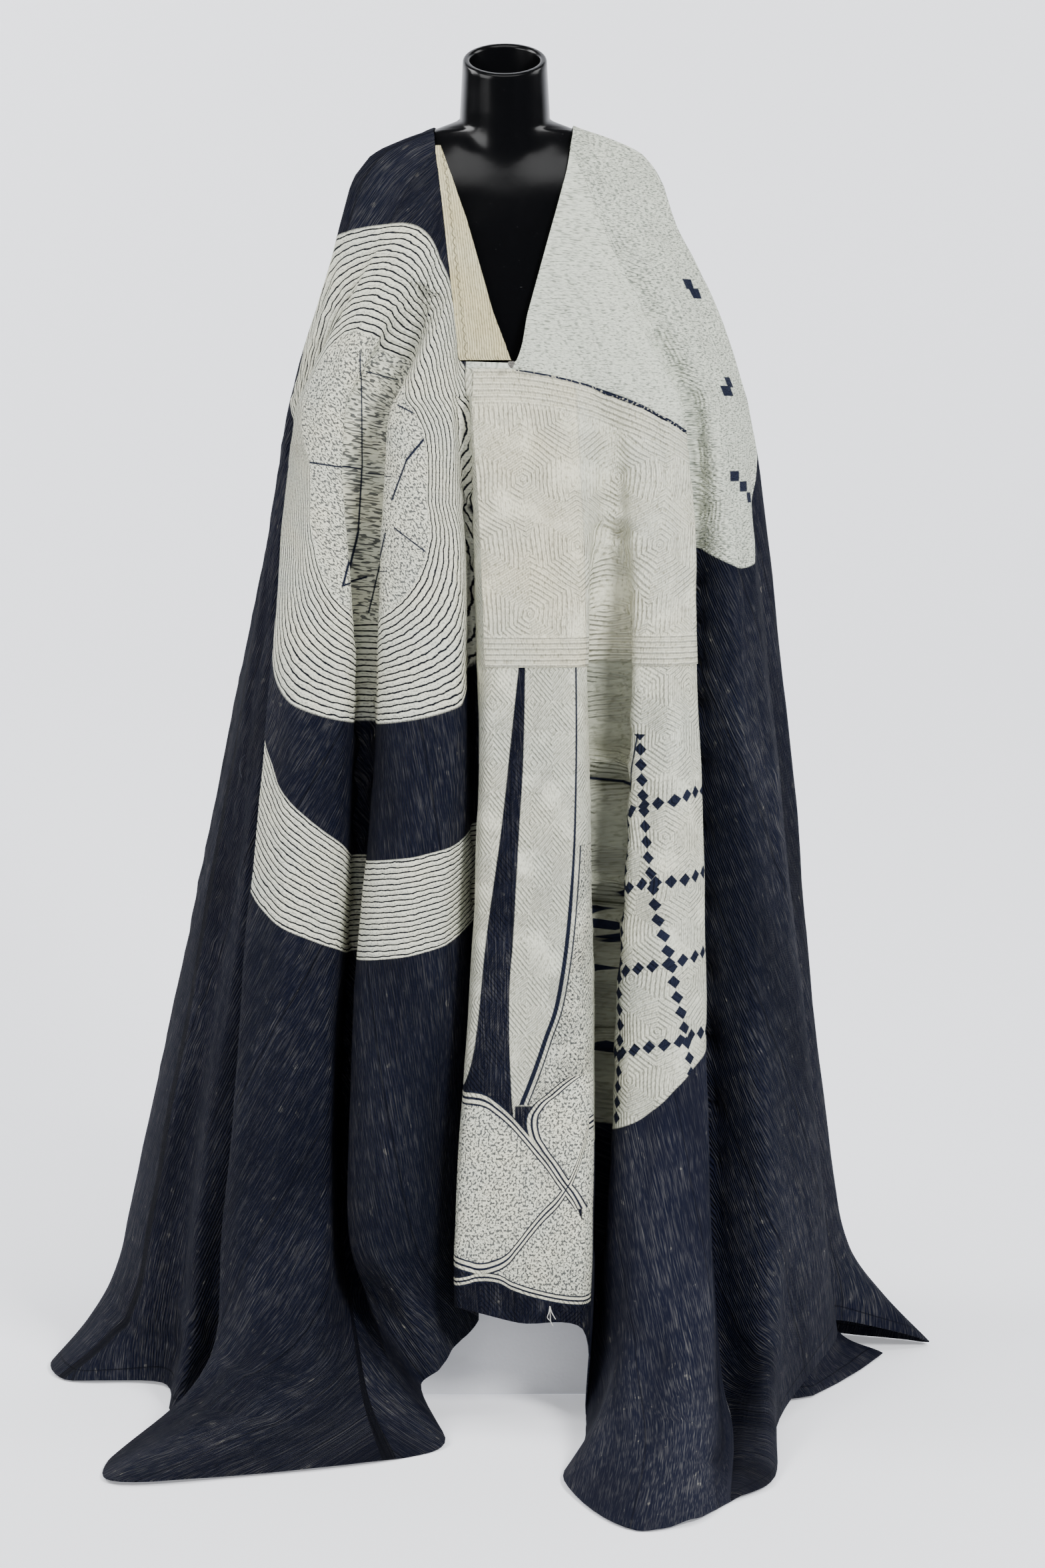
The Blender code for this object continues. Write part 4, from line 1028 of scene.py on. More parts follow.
def banded(paint, rings, across, down):
    """Cream bands between thin indigo lines; rings counts the bands. Colour and height."""
    wobble = paint.noise(paint.spot(across, down), 75.0, 1.0) - 0.5
    rough = paint.noise(paint.spot(across, down), 420.0, 1.0) - 0.5
    place = ((rings + wobble * 0.55).share() - 0.5).size()
    line = place.below(0.115 + rough * 0.16, 0.045)
    dashes = (paint.noise(paint.spot(across, down), 420.0, 0.0).above(0.60, 0.03)
              * place.above(0.33, 0.06) * 0.55)
    warm = paint.noise(paint.spot(across, down), 16.0, 2.0)
    cream = paint.mix((warm * 2.0 - 0.5).clamped(), CREAM_COOL, CREAM)
    colour = paint.mix(line, paint.mix(dashes, cream, (0.16, 0.16, 0.15)), LINE_INDIGO)
    return colour, place * 1.3 + stitches(paint, across, down) * 0.45 - line * 0.4


def speckled(paint, across, down):
    """Cream ground worked with small dark flecks."""
    fine = paint.noise(paint.spot(across, down), 420.0, 1.0)
    marks = paint.noise(paint.spot(across, down * 0.75), 400.0, 0.0)
    warm = paint.noise(paint.spot(across, down), 20.0, 2.0)
    cream = paint.mix((warm * 2.0 - 0.5).clamped(), CREAM_COOL, CREAM)
    flecks = marks.above(0.600, 0.02) + (fine.above(0.59, 0.02) * 0.75)
    return paint.mix(flecks.clamped() * 0.85, cream, (0.030, 0.034, 0.045)), fine * 0.8 - flecks * 0.5


def carved(paint, across, down, wide=0.127, tall=0.166, pitch=0.0056, slope=0.5):
    """Low relief of nested hexagons in raised ribs, or of diamonds where slope is near one."""
    wander = (paint.noise(paint.spot(across, down), 11.0, 1.0) - 0.5) * 0.020
    nests = []
    for shift in (0.0, 0.5):
        x = ((across + wander).scaled(1.0 / wide, shift).share() - 0.5).size() * wide
        z = ((down + wander).scaled(1.0 / tall, shift).share() - 0.5).size() * tall
        nests.append((x * slope + z * 0.82).high(x))
    ribs = (nests[0].low(nests[1]) * (2 * math.pi / pitch)).wave()
    fade = paint.noise(paint.spot(across, down), 21.0, 1.0).above(0.36, 0.12)
    return ribs * fade


def hem_stitch(paint, colour):
    """A dark line of stitches beside the hem: the colour with it, and where it runs."""
    _, _, hem = paint.stored("round")
    stitch = (hem - HEM_STITCH).size().below(0.0010, 0.0004)
    return paint.mix(stitch * 0.7, colour, STITCH_DARK), stitch


def indigo_material():
    paint = Paint("indigo_strip_weave")
    cloth, height = weave(paint)
    colour, stitch = hem_stitch(paint, cloth)
    return paint.finish(colour, height - stitch * 0.6, 0.0018, 0.92, 0.0, 0.08)


CIRCLE_Z = 1.169
CIRCLE_HALF = 0.314
CIRCLE_RINGS = 17.0
CIRCLE_DISC = 0.605
RINGS_TO_RADIUS = CIRCLE_RINGS / (1.0 - CIRCLE_DISC)
CIRCLE_LEFT = [(-1.0, 1.0), (0.0, 1.0), (0.12, 0.86), (0.24, 0.756), (0.53, 0.677), (0.955, 0.513)]
BAND_LINES = 18.0
DISC_LINES = [
    ((-0.1820, 1.3187), (-0.1818, 1.1766), 0.00094), ((-0.1818, 1.1766), (-0.1868, 1.0929), 0.00115),
    ((-0.1868, 1.0929), (-0.2021, 1.0292), 0.00158), ((-0.2021, 1.0292), (-0.1765, 1.0360), 0.00137),
    ((-0.2471, 1.1825), (-0.1835, 1.1732), 0.00115), ((-0.1769, 1.1674), (-0.1423, 1.1649), 0.00079),
    ((-0.1333, 1.2536), (-0.0846, 1.2304), 0.00108), ((-0.0846, 1.2304), (-0.1220, 1.1857), 0.00158),
    ((-0.1220, 1.1857), (-0.1405, 1.1360), 0.00122), ((-0.1369, 1.1014), (-0.0950, 1.0706), 0.00101),
    ((-0.1752, 1.2961), (-0.1371, 1.2860), 0.00094), ((-0.1490, 1.0944), (-0.1613, 1.0430), 0.00115),
    ((-0.1613, 1.0430), (-0.1732, 0.9916), 0.00101), ((-0.1750, 1.0438), (-0.1471, 1.0475), 0.00072),
]
KNIFE_LEFT = [(0.946, 0.0194), (0.840, 0.0080), (0.7396, -0.0029), (0.5964, -0.0226), (0.4723, -0.0360),
              (0.4333, -0.0447), (0.405, -0.0600)]
KNIFE_RIGHT = [(0.946, 0.0262), (0.8358, 0.0244), (0.7299, 0.0186), (0.5968, 0.0112), (0.5109, 0.0063),
               (0.4203, 0.0087), (0.3871, 0.0112)]
KNIFE_LINE = [(0.939, 0.0889), (0.787, 0.0888), (0.6726, 0.0845), (0.5392, 0.0695), (0.4729, 0.0498),
              (0.3968, 0.0211)]
KNIFE_LINE_HALF = [(0.39, 0.0030), (0.60, 0.0026), (0.74, 0.0014), (0.94, 0.0011)]
LOOP_A = [(-0.064, 0.4030), (-0.0464, 0.4050), (-0.0372, 0.4052), (-0.0241, 0.4025), (-0.0093, 0.3929),
          (0.0071, 0.3791), (0.0235, 0.3612), (0.0383, 0.3436), (0.0522, 0.3268), (0.067, 0.3058),
          (0.0768, 0.2927), (0.0867, 0.2780), (0.0960, 0.2550)]
LOOP_B = [(0.4324, 0.0901), (0.4273, 0.0810), (0.4108, 0.0604), (0.3920, 0.0399), (0.3791, 0.0342),
          (0.3629, 0.0358), (0.3469, 0.0440), (0.3244, 0.0604), (0.3025, 0.0751), (0.2898, 0.0850),
          (0.2700, 0.0960)]
LOOP_C = [(-0.064, 0.2060), (-0.0436, 0.2012), (-0.0313, 0.1983), (-0.0133, 0.2014), (0.003, 0.2093),
          (0.0153, 0.2231), (0.0317, 0.2434), (0.0481, 0.2622), (0.0645, 0.2784), (0.0751, 0.2928),
          (0.085, 0.3100), (0.1050, 0.3720)]
LOOP_D = [(-0.064, 0.1800), (-0.0437, 0.1850), (-0.0338, 0.1880), (-0.0174, 0.1880), (0.0112, 0.1762),
          (0.044, 0.1652), (0.0727, 0.1588), (0.0960, 0.1565)]
YOKE_EDGE = [(-0.06, 1.300), (0.021, 1.2951), (0.0753, 1.2851), (0.1541, 1.2602),
             (0.1954, 1.2394), (0.2289, 1.2134), (0.262, 1.186)]
LATTICE_DOWN = [
    [(0.8453, -0.0354), (0.7575, -0.0292), (0.6996, -0.0218), (0.6631, -0.0138), (0.6264, -0.0073),
     (0.5848, 0.0070), (0.5263, 0.0217), (0.4906, 0.0329), (0.42, 0.052)],
    [(0.7422, -0.0583), (0.6851, -0.0593), (0.6000, -0.0620), (0.5120, -0.0593),
     (0.4708, -0.0542), (0.36, -0.0560)],
    [(0.6230, -0.1200), (0.5930, -0.1141), (0.5556, -0.1055), (0.4500, -0.1120), (0.3950, -0.1040)],
]
LATTICE_LINES = [
    ((-0.0380, 0.8450), (-0.0580, 0.7400), 0.0013), ((-0.0580, 0.7400), (-0.0850, 0.6400), 0.0016),
    ((-0.0850, 0.6400), (-0.1150, 0.5750), 0.0014), ((-0.1050, 0.7830), (-0.0660, 0.7520), 0.0014),
    ((-0.1220, 0.7830), (-0.1450, 0.7600), 0.0013),
]
LATTICE_ACROSS = [
    [(-0.090, 0.728), (-0.0583, 0.7422), (-0.0292, 0.7575),
     (0.0011, 0.7626), (0.0500, 0.772), (0.1409, 0.766)],
    [(-0.1101, 0.6352), (-0.0438, 0.6554), (-0.0138, 0.6631),
     (0.0251, 0.6656), (0.080, 0.672), (0.158, 0.6629)],
    [(-0.1500, 0.5400), (-0.0829, 0.5456), (-0.0089, 0.5609),
     (0.0358, 0.5683), (0.090, 0.574), (0.1725, 0.5638)],
    [(-0.1500, 0.4400), (-0.0512, 0.4508), (-0.0172, 0.4601),
     (0.0184, 0.4664), (0.063, 0.4745), (0.1823, 0.4652)],
]
LATTICE_FOOT = [(-0.150, 0.345), (-0.0887, 0.3507), (-0.0345, 0.3642), (0.0, 0.3857), (0.0351, 0.4185),
                (0.0895, 0.4541), (0.191, 0.492)]
DIAMOND_STEP = 0.0190
DIAMOND_HALF = 0.0084


def chain(paint, main, side, points):
    """Small diamonds in a row along a curve; main runs along it and side across it."""
    off = (side - paint.curve(main, points)).size()
    along_row = ((main / DIAMOND_STEP).share() - 0.5).size() * DIAMOND_STEP
    inside = (off + along_row).below(DIAMOND_HALF, 0.0005)
    return inside * main.above(min(p[0] for p in points)) * main.below(max(p[0] for p in points))


def round_motif(paint):
    """Thin bands round a speckled middle, broad and level at the top: colour, height, mask."""
    x, _, z = paint.place()
    spread, height_z, _ = paint.stored("round")
    flat_u, down, _ = paint.stored("panel")
    off_z = (height_z - CIRCLE_Z) / CIRCLE_HALF
    upper = off_z.above(0.0, 0.3)
    off_z = off_z + (spread + 0.9).high(0.0).power(1.7) * upper * 0.17
    narrow = 1.0 - off_z.size().power(1.3) * 0.5
    narrow = narrow * (1.0 - spread.below(0.0, 0.2) * (1.0 - paint.curve(off_z, CIRCLE_LEFT)))
    reach = spread * narrow
    plain = (reach * reach + off_z * off_z).root()
    broad = ((reach * reach).power(1.6) + (off_z * off_z).power(1.6)).power(0.3125)
    radius = plain + (broad - plain) * upper
    ring_colour, ring_height = banded(paint, radius * RINGS_TO_RADIUS, flat_u, down)
    disc_colour, disc_height = speckled(paint, flat_u, down)
    disc_colour = paint.mix(paint.strokes(x, z, DISC_LINES), disc_colour, INK)
    disc = radius.below(CIRCLE_DISC, 0.006)
    colour = paint.mix(disc, ring_colour, disc_colour)
    height = ring_height * (1.0 - disc) + disc_height * disc
    return colour, height, radius.below(1.0, 0.004)


def right_sleeve_material():
    """The wearer's right sleeve: indigo, with the round motif's outer part on its shoulder."""
    paint = Paint("right_sleeve_weave")
    colour, height = weave(paint)
    spread, height_z, _ = paint.stored("round")
    round_colour, round_height, round_mask = round_motif(paint)
    round_mask = round_mask * spread.above(-2.4, 0.05) * height_z.above(1.180, 0.004)
    colour = paint.mix(round_mask, colour, round_colour)
    height = height * (1.0 - round_mask) + round_height * round_mask
    colour, stitch = hem_stitch(paint, colour)
    return paint.finish(colour, height - stitch * 0.6, 0.0026, 0.92, 0.0, 0.10)


def front_material():
    """The front: round motif, lower bands, yoke, tapered stripe, interlace and lattice."""
    paint = Paint("front_embroidery")
    x, _, z = paint.place()
    spread, height_z, _ = paint.stored("round")
    flat_u, down, ridge_u = paint.stored("panel")
    cloth, height = weave(paint)
    colour = cloth

    # The round motif on the wearer's right breast
    round_colour, round_height, round_mask = round_motif(paint)
    round_mask = round_mask * spread.below(1.05, 0.01)
    colour = paint.mix(round_mask, colour, round_colour)
    height = height * (1.0 - round_mask) + round_height * round_mask

    # The broad bands below it
    square = spread * spread
    lift_left, lift_right = spread.below(0.0, 0.001), spread.above(0.0, 0.001)
    top = 0.684 + square * (lift_left * 0.150 + lift_right * 0.046)
    foot = 0.561 + square * (lift_left * 0.085 + lift_right * 0.050)
    place = (height_z - foot) / (top - foot)
    lower_colour, lower_height = banded(paint, place * BAND_LINES, flat_u, down)
    lower_mask = place.above(0.0, 0.006) * place.below(1.0, 0.006) * spread.below(1.02, 0.01)
    colour = paint.mix(lower_mask, colour, lower_colour)
    height = height * (1.0 - lower_mask) + lower_height * lower_mask

    # Embroidered cream of the panel, the ridge beside it and the yoke
    on_panel_side = spread.above(1.06, 0.004)
    yoke_edge = paint.curve(x, YOKE_EDGE)
    yoke = on_panel_side * z.above(yoke_edge, 0.001)
    cord_half = paint.curve(x, [(0.016, 0.0014), (0.08, 0.0030), (0.19, 0.0046)])
    cord = on_panel_side * (z - yoke_edge + 0.002).size().below(cord_half, 0.0008) * x.above(0.016, 0.002)
    small = (down * (2 * math.pi / 0.0046)).wave()
    relief = carved(paint, flat_u, down, 0.050, 0.074, 0.0058, 0.98)
    dense = stitches(paint, flat_u, down)
    tone = paint.noise(paint.spot(flat_u, down), 9.0, 2.0)
    plain_cream = paint.mix((tone * 2.0 - 0.5).clamped(), CREAM_COOL, CREAM)
    # Painted shade: the cream is painted darker in the low places between the stitches and in the troughs
    # of the carved relief.
    plain_cream = paint.mix((0.44 - dense).high(0.0).low(0.25) * 2.6, plain_cream, (0.24, 0.25, 0.19))
    plain_cream = paint.mix((relief * -1.0).high(0.0) * 0.26, plain_cream, (0.30, 0.30, 0.22))
    cross_grain = stitches(paint, down, flat_u)
    # Painted shade: the yoke's cream is painted darker in the low places between its stitches.
    yoke_tone = paint.mix((0.47 - cross_grain).high(0.0).low(0.25) * 2.8, YOKE_CREAM, (0.14, 0.16, 0.13))
    worked = dense * 0.7 + relief * 0.6
    lattice_relief = dense * 0.7 + carved(paint, ridge_u, down, 0.070, 0.120, 0.0052) * 0.6

    # Panel with the tapered stripe and the interlace
    ink = x.above(paint.curve(z, KNIFE_LEFT)) * x.below(paint.curve(z, KNIFE_RIGHT))
    loop_a, loop_b = paint.curve(x, LOOP_A), paint.curve(z, LOOP_B)
    loop_c, loop_d = paint.curve(x, LOOP_C), paint.curve(x, LOOP_D)
    line_x = paint.curve(z, KNIFE_LINE)
    ink = ink * z.above(loop_a)
    off_line = x - line_x
    second = off_line.size().below(paint.curve(z, KNIFE_LINE_HALF), 0.0004)
    beside = (off_line - 0.0078).size().below(0.0009, 0.0004) * z.below(0.712)
    second = (second + beside).clamped() * z.above(0.397)
    filled = off_line.above(0.0088) * z.below(0.712) * z.above(0.397)
    below_a = z.below(loop_a)
    beyond_b = x.above(loop_b) * z.below(0.4324) * z.above(0.20)
    knot = (below_a + beyond_b).clamped() * z.above(loop_d)
    corner = z.below(loop_c) * x.below(-0.0200, 0.004)
    knot = knot * (1.0 - corner)
    wedge = z.below(0.3960, 0.001) * x.above(0.0130) * (1.0 - knot) * z.above(loop_d)
    spot_colour, spot_height = speckled(paint, flat_u, down)
    gap_a = (z - loop_a).size() * 0.72 + z.below(0.27) * 0.1
    gap_b = (x - loop_b).size() * 0.78 + (z.above(0.4324) + z.below(0.27)) * 0.1
    gap_c = (z - loop_c).size() * 0.78
    gap_d = (z - loop_d).size()
    nearest = gap_a.low(gap_b).low(gap_c).low(gap_d)
    hem_band = z.below(loop_d)
    indigo_here = (ink + hem_band + corner + wedge).clamped()
    panel_colour = paint.mix((knot + filled).clamped(), plain_cream, spot_colour)
    panel_colour = paint.mix(second, panel_colour, INK)
    panel_colour = paint.mix(indigo_here, panel_colour, cloth)
    in_knot_zone = z.below(0.4140)
    ropes = (gap_c.low(gap_d).low(gap_a).below(0.0062, 0.0004) * in_knot_zone
             + gap_b.below(0.0062, 0.0004)).clamped()
    panel_colour = paint.mix(ropes, panel_colour, INK)
    rope_here = (gap_c.low(gap_d).low(gap_a).below(0.0045, 0.0004) * in_knot_zone
                 + gap_b.below(0.0045, 0.0004)).clamped()
    core = nearest.below(0.0012, 0.0004) * rope_here
    panel_colour = paint.mix(rope_here, panel_colour, CREAM)
    panel_colour = paint.mix(core, panel_colour, INK)
    panel_height = worked * (1.0 - knot) + spot_height * knot + rope_here * 0.8 - indigo_here * 0.2

    # Ridge with small diamonds in rows
    marks = None
    for points in LATTICE_DOWN:
        one = chain(paint, z, ridge_u, points)
        marks = one if marks is None else marks.high(one)
    for points in LATTICE_ACROSS:
        marks = marks.high(chain(paint, ridge_u, z, points))
    marks = marks.high(paint.strokes(ridge_u, z, LATTICE_LINES))
    # Painted shade: the lattice's cream is painted darker in the valley beside the ridge, where shade
    # falls.
    valley_shade = ridge_u.below(-0.066, 0.030)
    lattice_cream = paint.mix(valley_shade * 0.62, plain_cream, (0.15, 0.16, 0.115))
    lattice_colour = paint.mix(marks, lattice_cream, INK)
    lattice_foot = paint.curve(ridge_u, LATTICE_FOOT)
    lattice_on = z.above(lattice_foot, 0.001)
    lattice_colour = paint.mix(lattice_on, cloth, lattice_colour)
    lattice_height = lattice_relief * lattice_on - marks * 0.3

    ridge_side = flat_u.above(0.1090, 0.004) * on_panel_side
    right_colour = paint.mix(ridge_side, panel_colour, lattice_colour)
    right_height = panel_height * (1.0 - ridge_side) + lattice_height * ridge_side
    right_colour = paint.mix(yoke, right_colour, yoke_tone)
    right_height = right_height * (1.0 - yoke) + (cross_grain * 0.9 + small * 0.15) * yoke
    right_colour = paint.mix(cord, right_colour, INK)
    colour = paint.mix(on_panel_side, colour, right_colour)
    height = height * (1.0 - on_panel_side) + right_height * on_panel_side
    return paint.finish(colour, height, 0.0028, 0.92, 0.0, 0.10)


SLEEVE_EDGE = [(0.0, 1.076), (0.035, 1.062), (0.080, 1.048), (0.115, 1.062), (0.150, 1.120),
               (0.170, 1.200), (0.182, 1.300)]
SLEEVE_SQUARES = ((0.084, 1.4075), (0.092, 1.3960), (0.085, 1.2830), (0.070, 1.2720), (0.064, 1.1639),
                  (0.086, 1.1506), (0.104, 1.1362))


def sleeve_material():
    """The wearer's left sleeve: close embroidery above a rounded edge, indigo below."""
    paint = Paint("sleeve_embroidery")
    _, _, z = paint.place()
    _, _, seam_u = paint.stored("fold")
    _, down, _ = paint.stored("panel")
    cloth, height = weave(paint)
    colour, stitch = hem_stitch(paint, cloth)
    edge = paint.curve(seam_u, SLEEVE_EDGE)
    worked = z.above(edge, 0.001)
    dense = stitches(paint, down, seam_u)
    ribs = carved(paint, seam_u, down, 0.080, 0.140, 0.0056)
    # Painted shade: the embroidery's cream is painted darker in the low places between the stitches.
    tone = paint.mix((0.52 - dense).high(0.0).low(0.25) * 3.0, YOKE_CREAM, (0.12, 0.14, 0.12))
    squares = None
    for u, level in SLEEVE_SQUARES:
        one = ((seam_u - u).size() * 0.62).high((z - level).size()).below(0.0066, 0.0005)
        squares = one if squares is None else squares.high(one)
    tone = paint.mix(squares, tone, INK)
    colour = paint.mix(worked, colour, tone)
    height = height * (1.0 - worked) + (dense * 1.2 + ribs * 0.35) * worked
    return paint.finish(colour, height - stitch * 0.5, 0.0026, 0.92, 0.0, 0.10)


def pocket_material():
    paint = Paint("pocket_embroidery")
    across, level, from_top = paint.stored("patch")
    dense = stitches(paint, across, level)
    relief = carved(paint, across, level)
    top_ribs = (from_top * (2 * math.pi / 0.0078)).wave() * from_top.below(0.044, 0.004)
    foot_ribs = (level * (2 * math.pi / 0.0068)).wave() * level.below(0.968, 0.003)
    middle = from_top.above(0.044, 0.004) * level.above(0.968, 0.003)
    ribs = relief * middle * 0.55 + (top_ribs + foot_ribs) * 0.7
    tone = paint.noise(paint.spot(across, level), 9.0, 3.0)
    strip = across.above(0.074, 0.002)
    warm = paint.mix((tone * 2.2 - 0.6).clamped(), CREAM, CREAM_WARM)
    cool = paint.mix((tone * 2.2 - 0.6).clamped(), CREAM_COOL, CREAM)
    colour = paint.mix(strip * 0.7 + 0.15, warm, cool)
    # Painted shade: the pocket is painted darker in the low places between the stitches and in the troughs
    # of its ribs.
    wear_and_painted_shade = (0.44 - dense).high(0.0).low(0.25) * 2.4 + (ribs * -1.0).high(0.0) * 0.26
    colour = paint.mix(wear_and_painted_shade, colour, (0.30, 0.29, 0.20))
    edge_a = (across + 0.062).size().below(0.0010, 0.0004)
    colour = paint.mix(edge_a * 0.8, colour, (0.05, 0.05, 0.05))
    seam = (across - 0.074).size().below(0.0009, 0.0003) * 0.35
    colour = paint.mix(seam, colour, (0.25, 0.24, 0.20))
    cord_width = paint.curve(across, [(0.0, 0.0016), (0.03, 0.0026), (0.10, 0.0036), (0.19, 0.0054)])
    cord = from_top.below(cord_width, 0.0005) * across.above(0.004, 0.001)
    ticks = paint.noise(paint.spot(across, level), 300.0, 0.0).above(0.60, 0.03)
    colour = paint.mix(cord * (1.0 - ticks * 0.5), colour, INK)
    return paint.finish(colour, dense * 0.7 + ribs * 1.0 - edge_a, 0.0030, 0.90, 0.0, 0.12)


def facing_material():
    paint = Paint("facing_ribbed")
    across, level, _ = paint.stored("patch")
    wander = (paint.noise(paint.spot(across, level), 22.0, 1.0) - 0.5) * 0.002
    ribs = ((across + wander) * (2 * math.pi / 0.0031)).wave()
    dense = stitches(paint, across, level)
    tone = paint.noise(paint.spot(across, level), 14.0, 3.0)
    colour = paint.mix((tone * 2.2 - 0.6).clamped(), (0.70, 0.61, 0.33), (0.75, 0.70, 0.47))
    # Painted shade: the facing is painted darker in the troughs of its ribs and in the low places between
    # the stitches.
    wear_and_painted_shade = (ribs * -0.5 + 0.2).high(0.0) * 0.30 + (0.44 - dense).high(0.0) * 1.6
    colour = paint.mix(wear_and_painted_shade, colour, (0.30, 0.26, 0.14))
    scallop = ((level / 0.011).share() - 0.5).size() * 0.006
    edge = (across - 0.008 - scallop).size().below(0.0008, 0.0004)
    colour = paint.mix(edge * 0.6, colour, (0.20, 0.18, 0.12))
    return paint.finish(colour, ribs * 0.5 + dense * 0.8 - edge, 0.0024, 0.90, 0.0, 0.12)


def form_material():
    paint = Paint("form_gloss_black")
    x, y, z = paint.place()
    smudge = paint.noise(paint.spot(x, y, z), 26.0, 4.0, 0.62)
    scratch = paint.noise(paint.spot(x * 0.4, y, z * 2.2), 210.0, 0.0).above(0.905, 0.006)
    dust = paint.noise(paint.spot(x, y, z), 640.0, 0.0).above(0.90, 0.02)
    marked = (scratch * 0.35 + dust * 0.25).clamped()
    colour = paint.mix(marked, (0.0016, 0.0017, 0.0021), (0.26, 0.26, 0.26))
    return paint.finish(colour, smudge, 0.00010, smudge * 0.20 + 0.10, 0.0, 0.22)


def plinth_material():
    paint = Paint("plinth_paint")
    x, y, z = paint.place()
    grain = paint.noise(paint.spot(x, y, z), 240.0, 2.0)
    marks = paint.noise(paint.spot(x, y, z * 2.0), 18.0, 4.0)
    colour = paint.mix((marks * 2.4 - 1.1).clamped() * 0.35, (0.80, 0.81, 0.84), (0.62, 0.62, 0.64))
    return paint.finish(colour, grain, 0.0002, marks * 0.25 + 0.42, 0.0, 0.4)


def steel_material():
    paint = Paint("stand_brushed_steel")
    x, y, z = paint.place()
    brush = paint.noise(paint.spot(x * 1.0, y * 1.0, z * 30.0), 40.0, 2.0)
    paint.shader.inputs["Metallic"].default_value = 1.0
    colour = paint.mix(brush, (0.42, 0.42, 0.43), (0.58, 0.58, 0.60))
    return paint.finish(colour, brush, 0.0001, brush * 0.2 + 0.26, 0.0, 0.5)


def thread_material(name, colour):
    paint = Paint(name)
    x, y, z = paint.place()
    twist = paint.noise(paint.spot(x, y, z), 900.0, 1.0)
    shade = paint.mix(twist, colour, tuple(value * 0.7 for value in colour))
    return paint.finish(shade, twist, 0.0003, 0.85, 0.1, 0.2)


POCKET_ROWS = 96
POCKET_EASE = 8.0


def pocket_piece(material):
    """The embroidered pocket, laid on the front and cut to its mouth and foot."""
    part = columns_of(POCKET_FIRST, POCKET_LAST)
    base, facing = GRID[:, part], NORMALS[:, part]
    spans = span_from("panel_middle")[:, part]
    heights = base[:, :, 2]
    chest_x = np.maximum(base[CHEST_ROW, :, 0], 0.0)
    tops = POCKET_TOP_Z - POCKET_TOP_BOW * np.maximum(chest_x - 0.01, 0) ** 2 - POCKET_TOP_FALL * chest_x
    layers = []
    for column in range(base.shape[1]):
        down = heights[::-1, column]
        levels = np.linspace(tops[column], POCKET_FOOT_Z, POCKET_ROWS + 1)
        sources = [block[:, column, axis] for block in (base, facing) for axis in range(3)]
        sources.append(spans[:, column])
        layers.append(np.column_stack([np.interp(levels, down, source[::-1]) for source in sources]
                                      + [levels, tops[column] - levels]))
    block = np.array(layers).transpose(1, 0, 2)
    outward = block[:, :, 3:6] / np.linalg.norm(block[:, :, 3:6], axis=2)[:, :, None]
    rows, columns = block.shape[:2]
    inside = np.minimum(np.arange(rows)[::-1, None], np.arange(columns)[::-1][None]) / POCKET_EASE
    lay = SEAM_GAP + (LAY_GAP - SEAM_GAP) * np.clip(inside, 0.0, 1.0)[:, :, None]
    middle = block[:, :, :3] + outward * (CLOTH / 2 + lay + PANEL_CLOTH / 2)
    points, faces = wall(middle, outward, PANEL_CLOTH)
    patch = block[:, :, 6:9].reshape(-1, 3)
    return add_piece("pocket_panel", points, faces, {"patch": np.vstack([patch, patch])},
                     material, "pocket_panel")


def facing_piece(material):
    """The ribbed band that fills the corner between the front's edge and the neck opening."""
    part = columns_of(FACING_LAST, "valley_2")
    inner_z = [z for _, z in FACING_INNER_EDGE[::-1]]
    inner_x = [x for x, _ in FACING_INNER_EDGE[::-1]]
    rows, facings, patch = [], [], []
    for point, facing in zip(GRID[0, part], NORMALS[0, part]):
        x_end = float(np.interp(point[2], inner_z, inner_x))
        end = outline_point(x_end, max(point[2], FACING_INNER_EDGE[-1][1]))
        width = np.linalg.norm(end - point)
        start = point + (end - point) / width * SEAM_GAP
        row = []
        for step in range(FACING_COLUMNS + 1):
            share = step / FACING_COLUMNS
            spot = start * (1 - share) + end * share
            flat = outline_point(spot[0], spot[2])
            swell = FACING_SWELL * math.sin(math.pi * share)
            row.append(np.array([spot[0], spot[1] * (1 - share) + flat[1] * share - swell, spot[2]]))
            patch.append((width * share, spot[2], share))
        rows.append(row)
        facings.append([facing] * (FACING_COLUMNS + 1))
    middle, outward = np.array(rows), np.array(facings)
    middle[-1, :, 2] += FACING_FOOT_GAP
    points, faces = wall(middle, outward, CLOTH)
    return add_piece("neck_facing", points, faces, {"patch": np.vstack([patch, patch])},
                     material, "neck_facing")


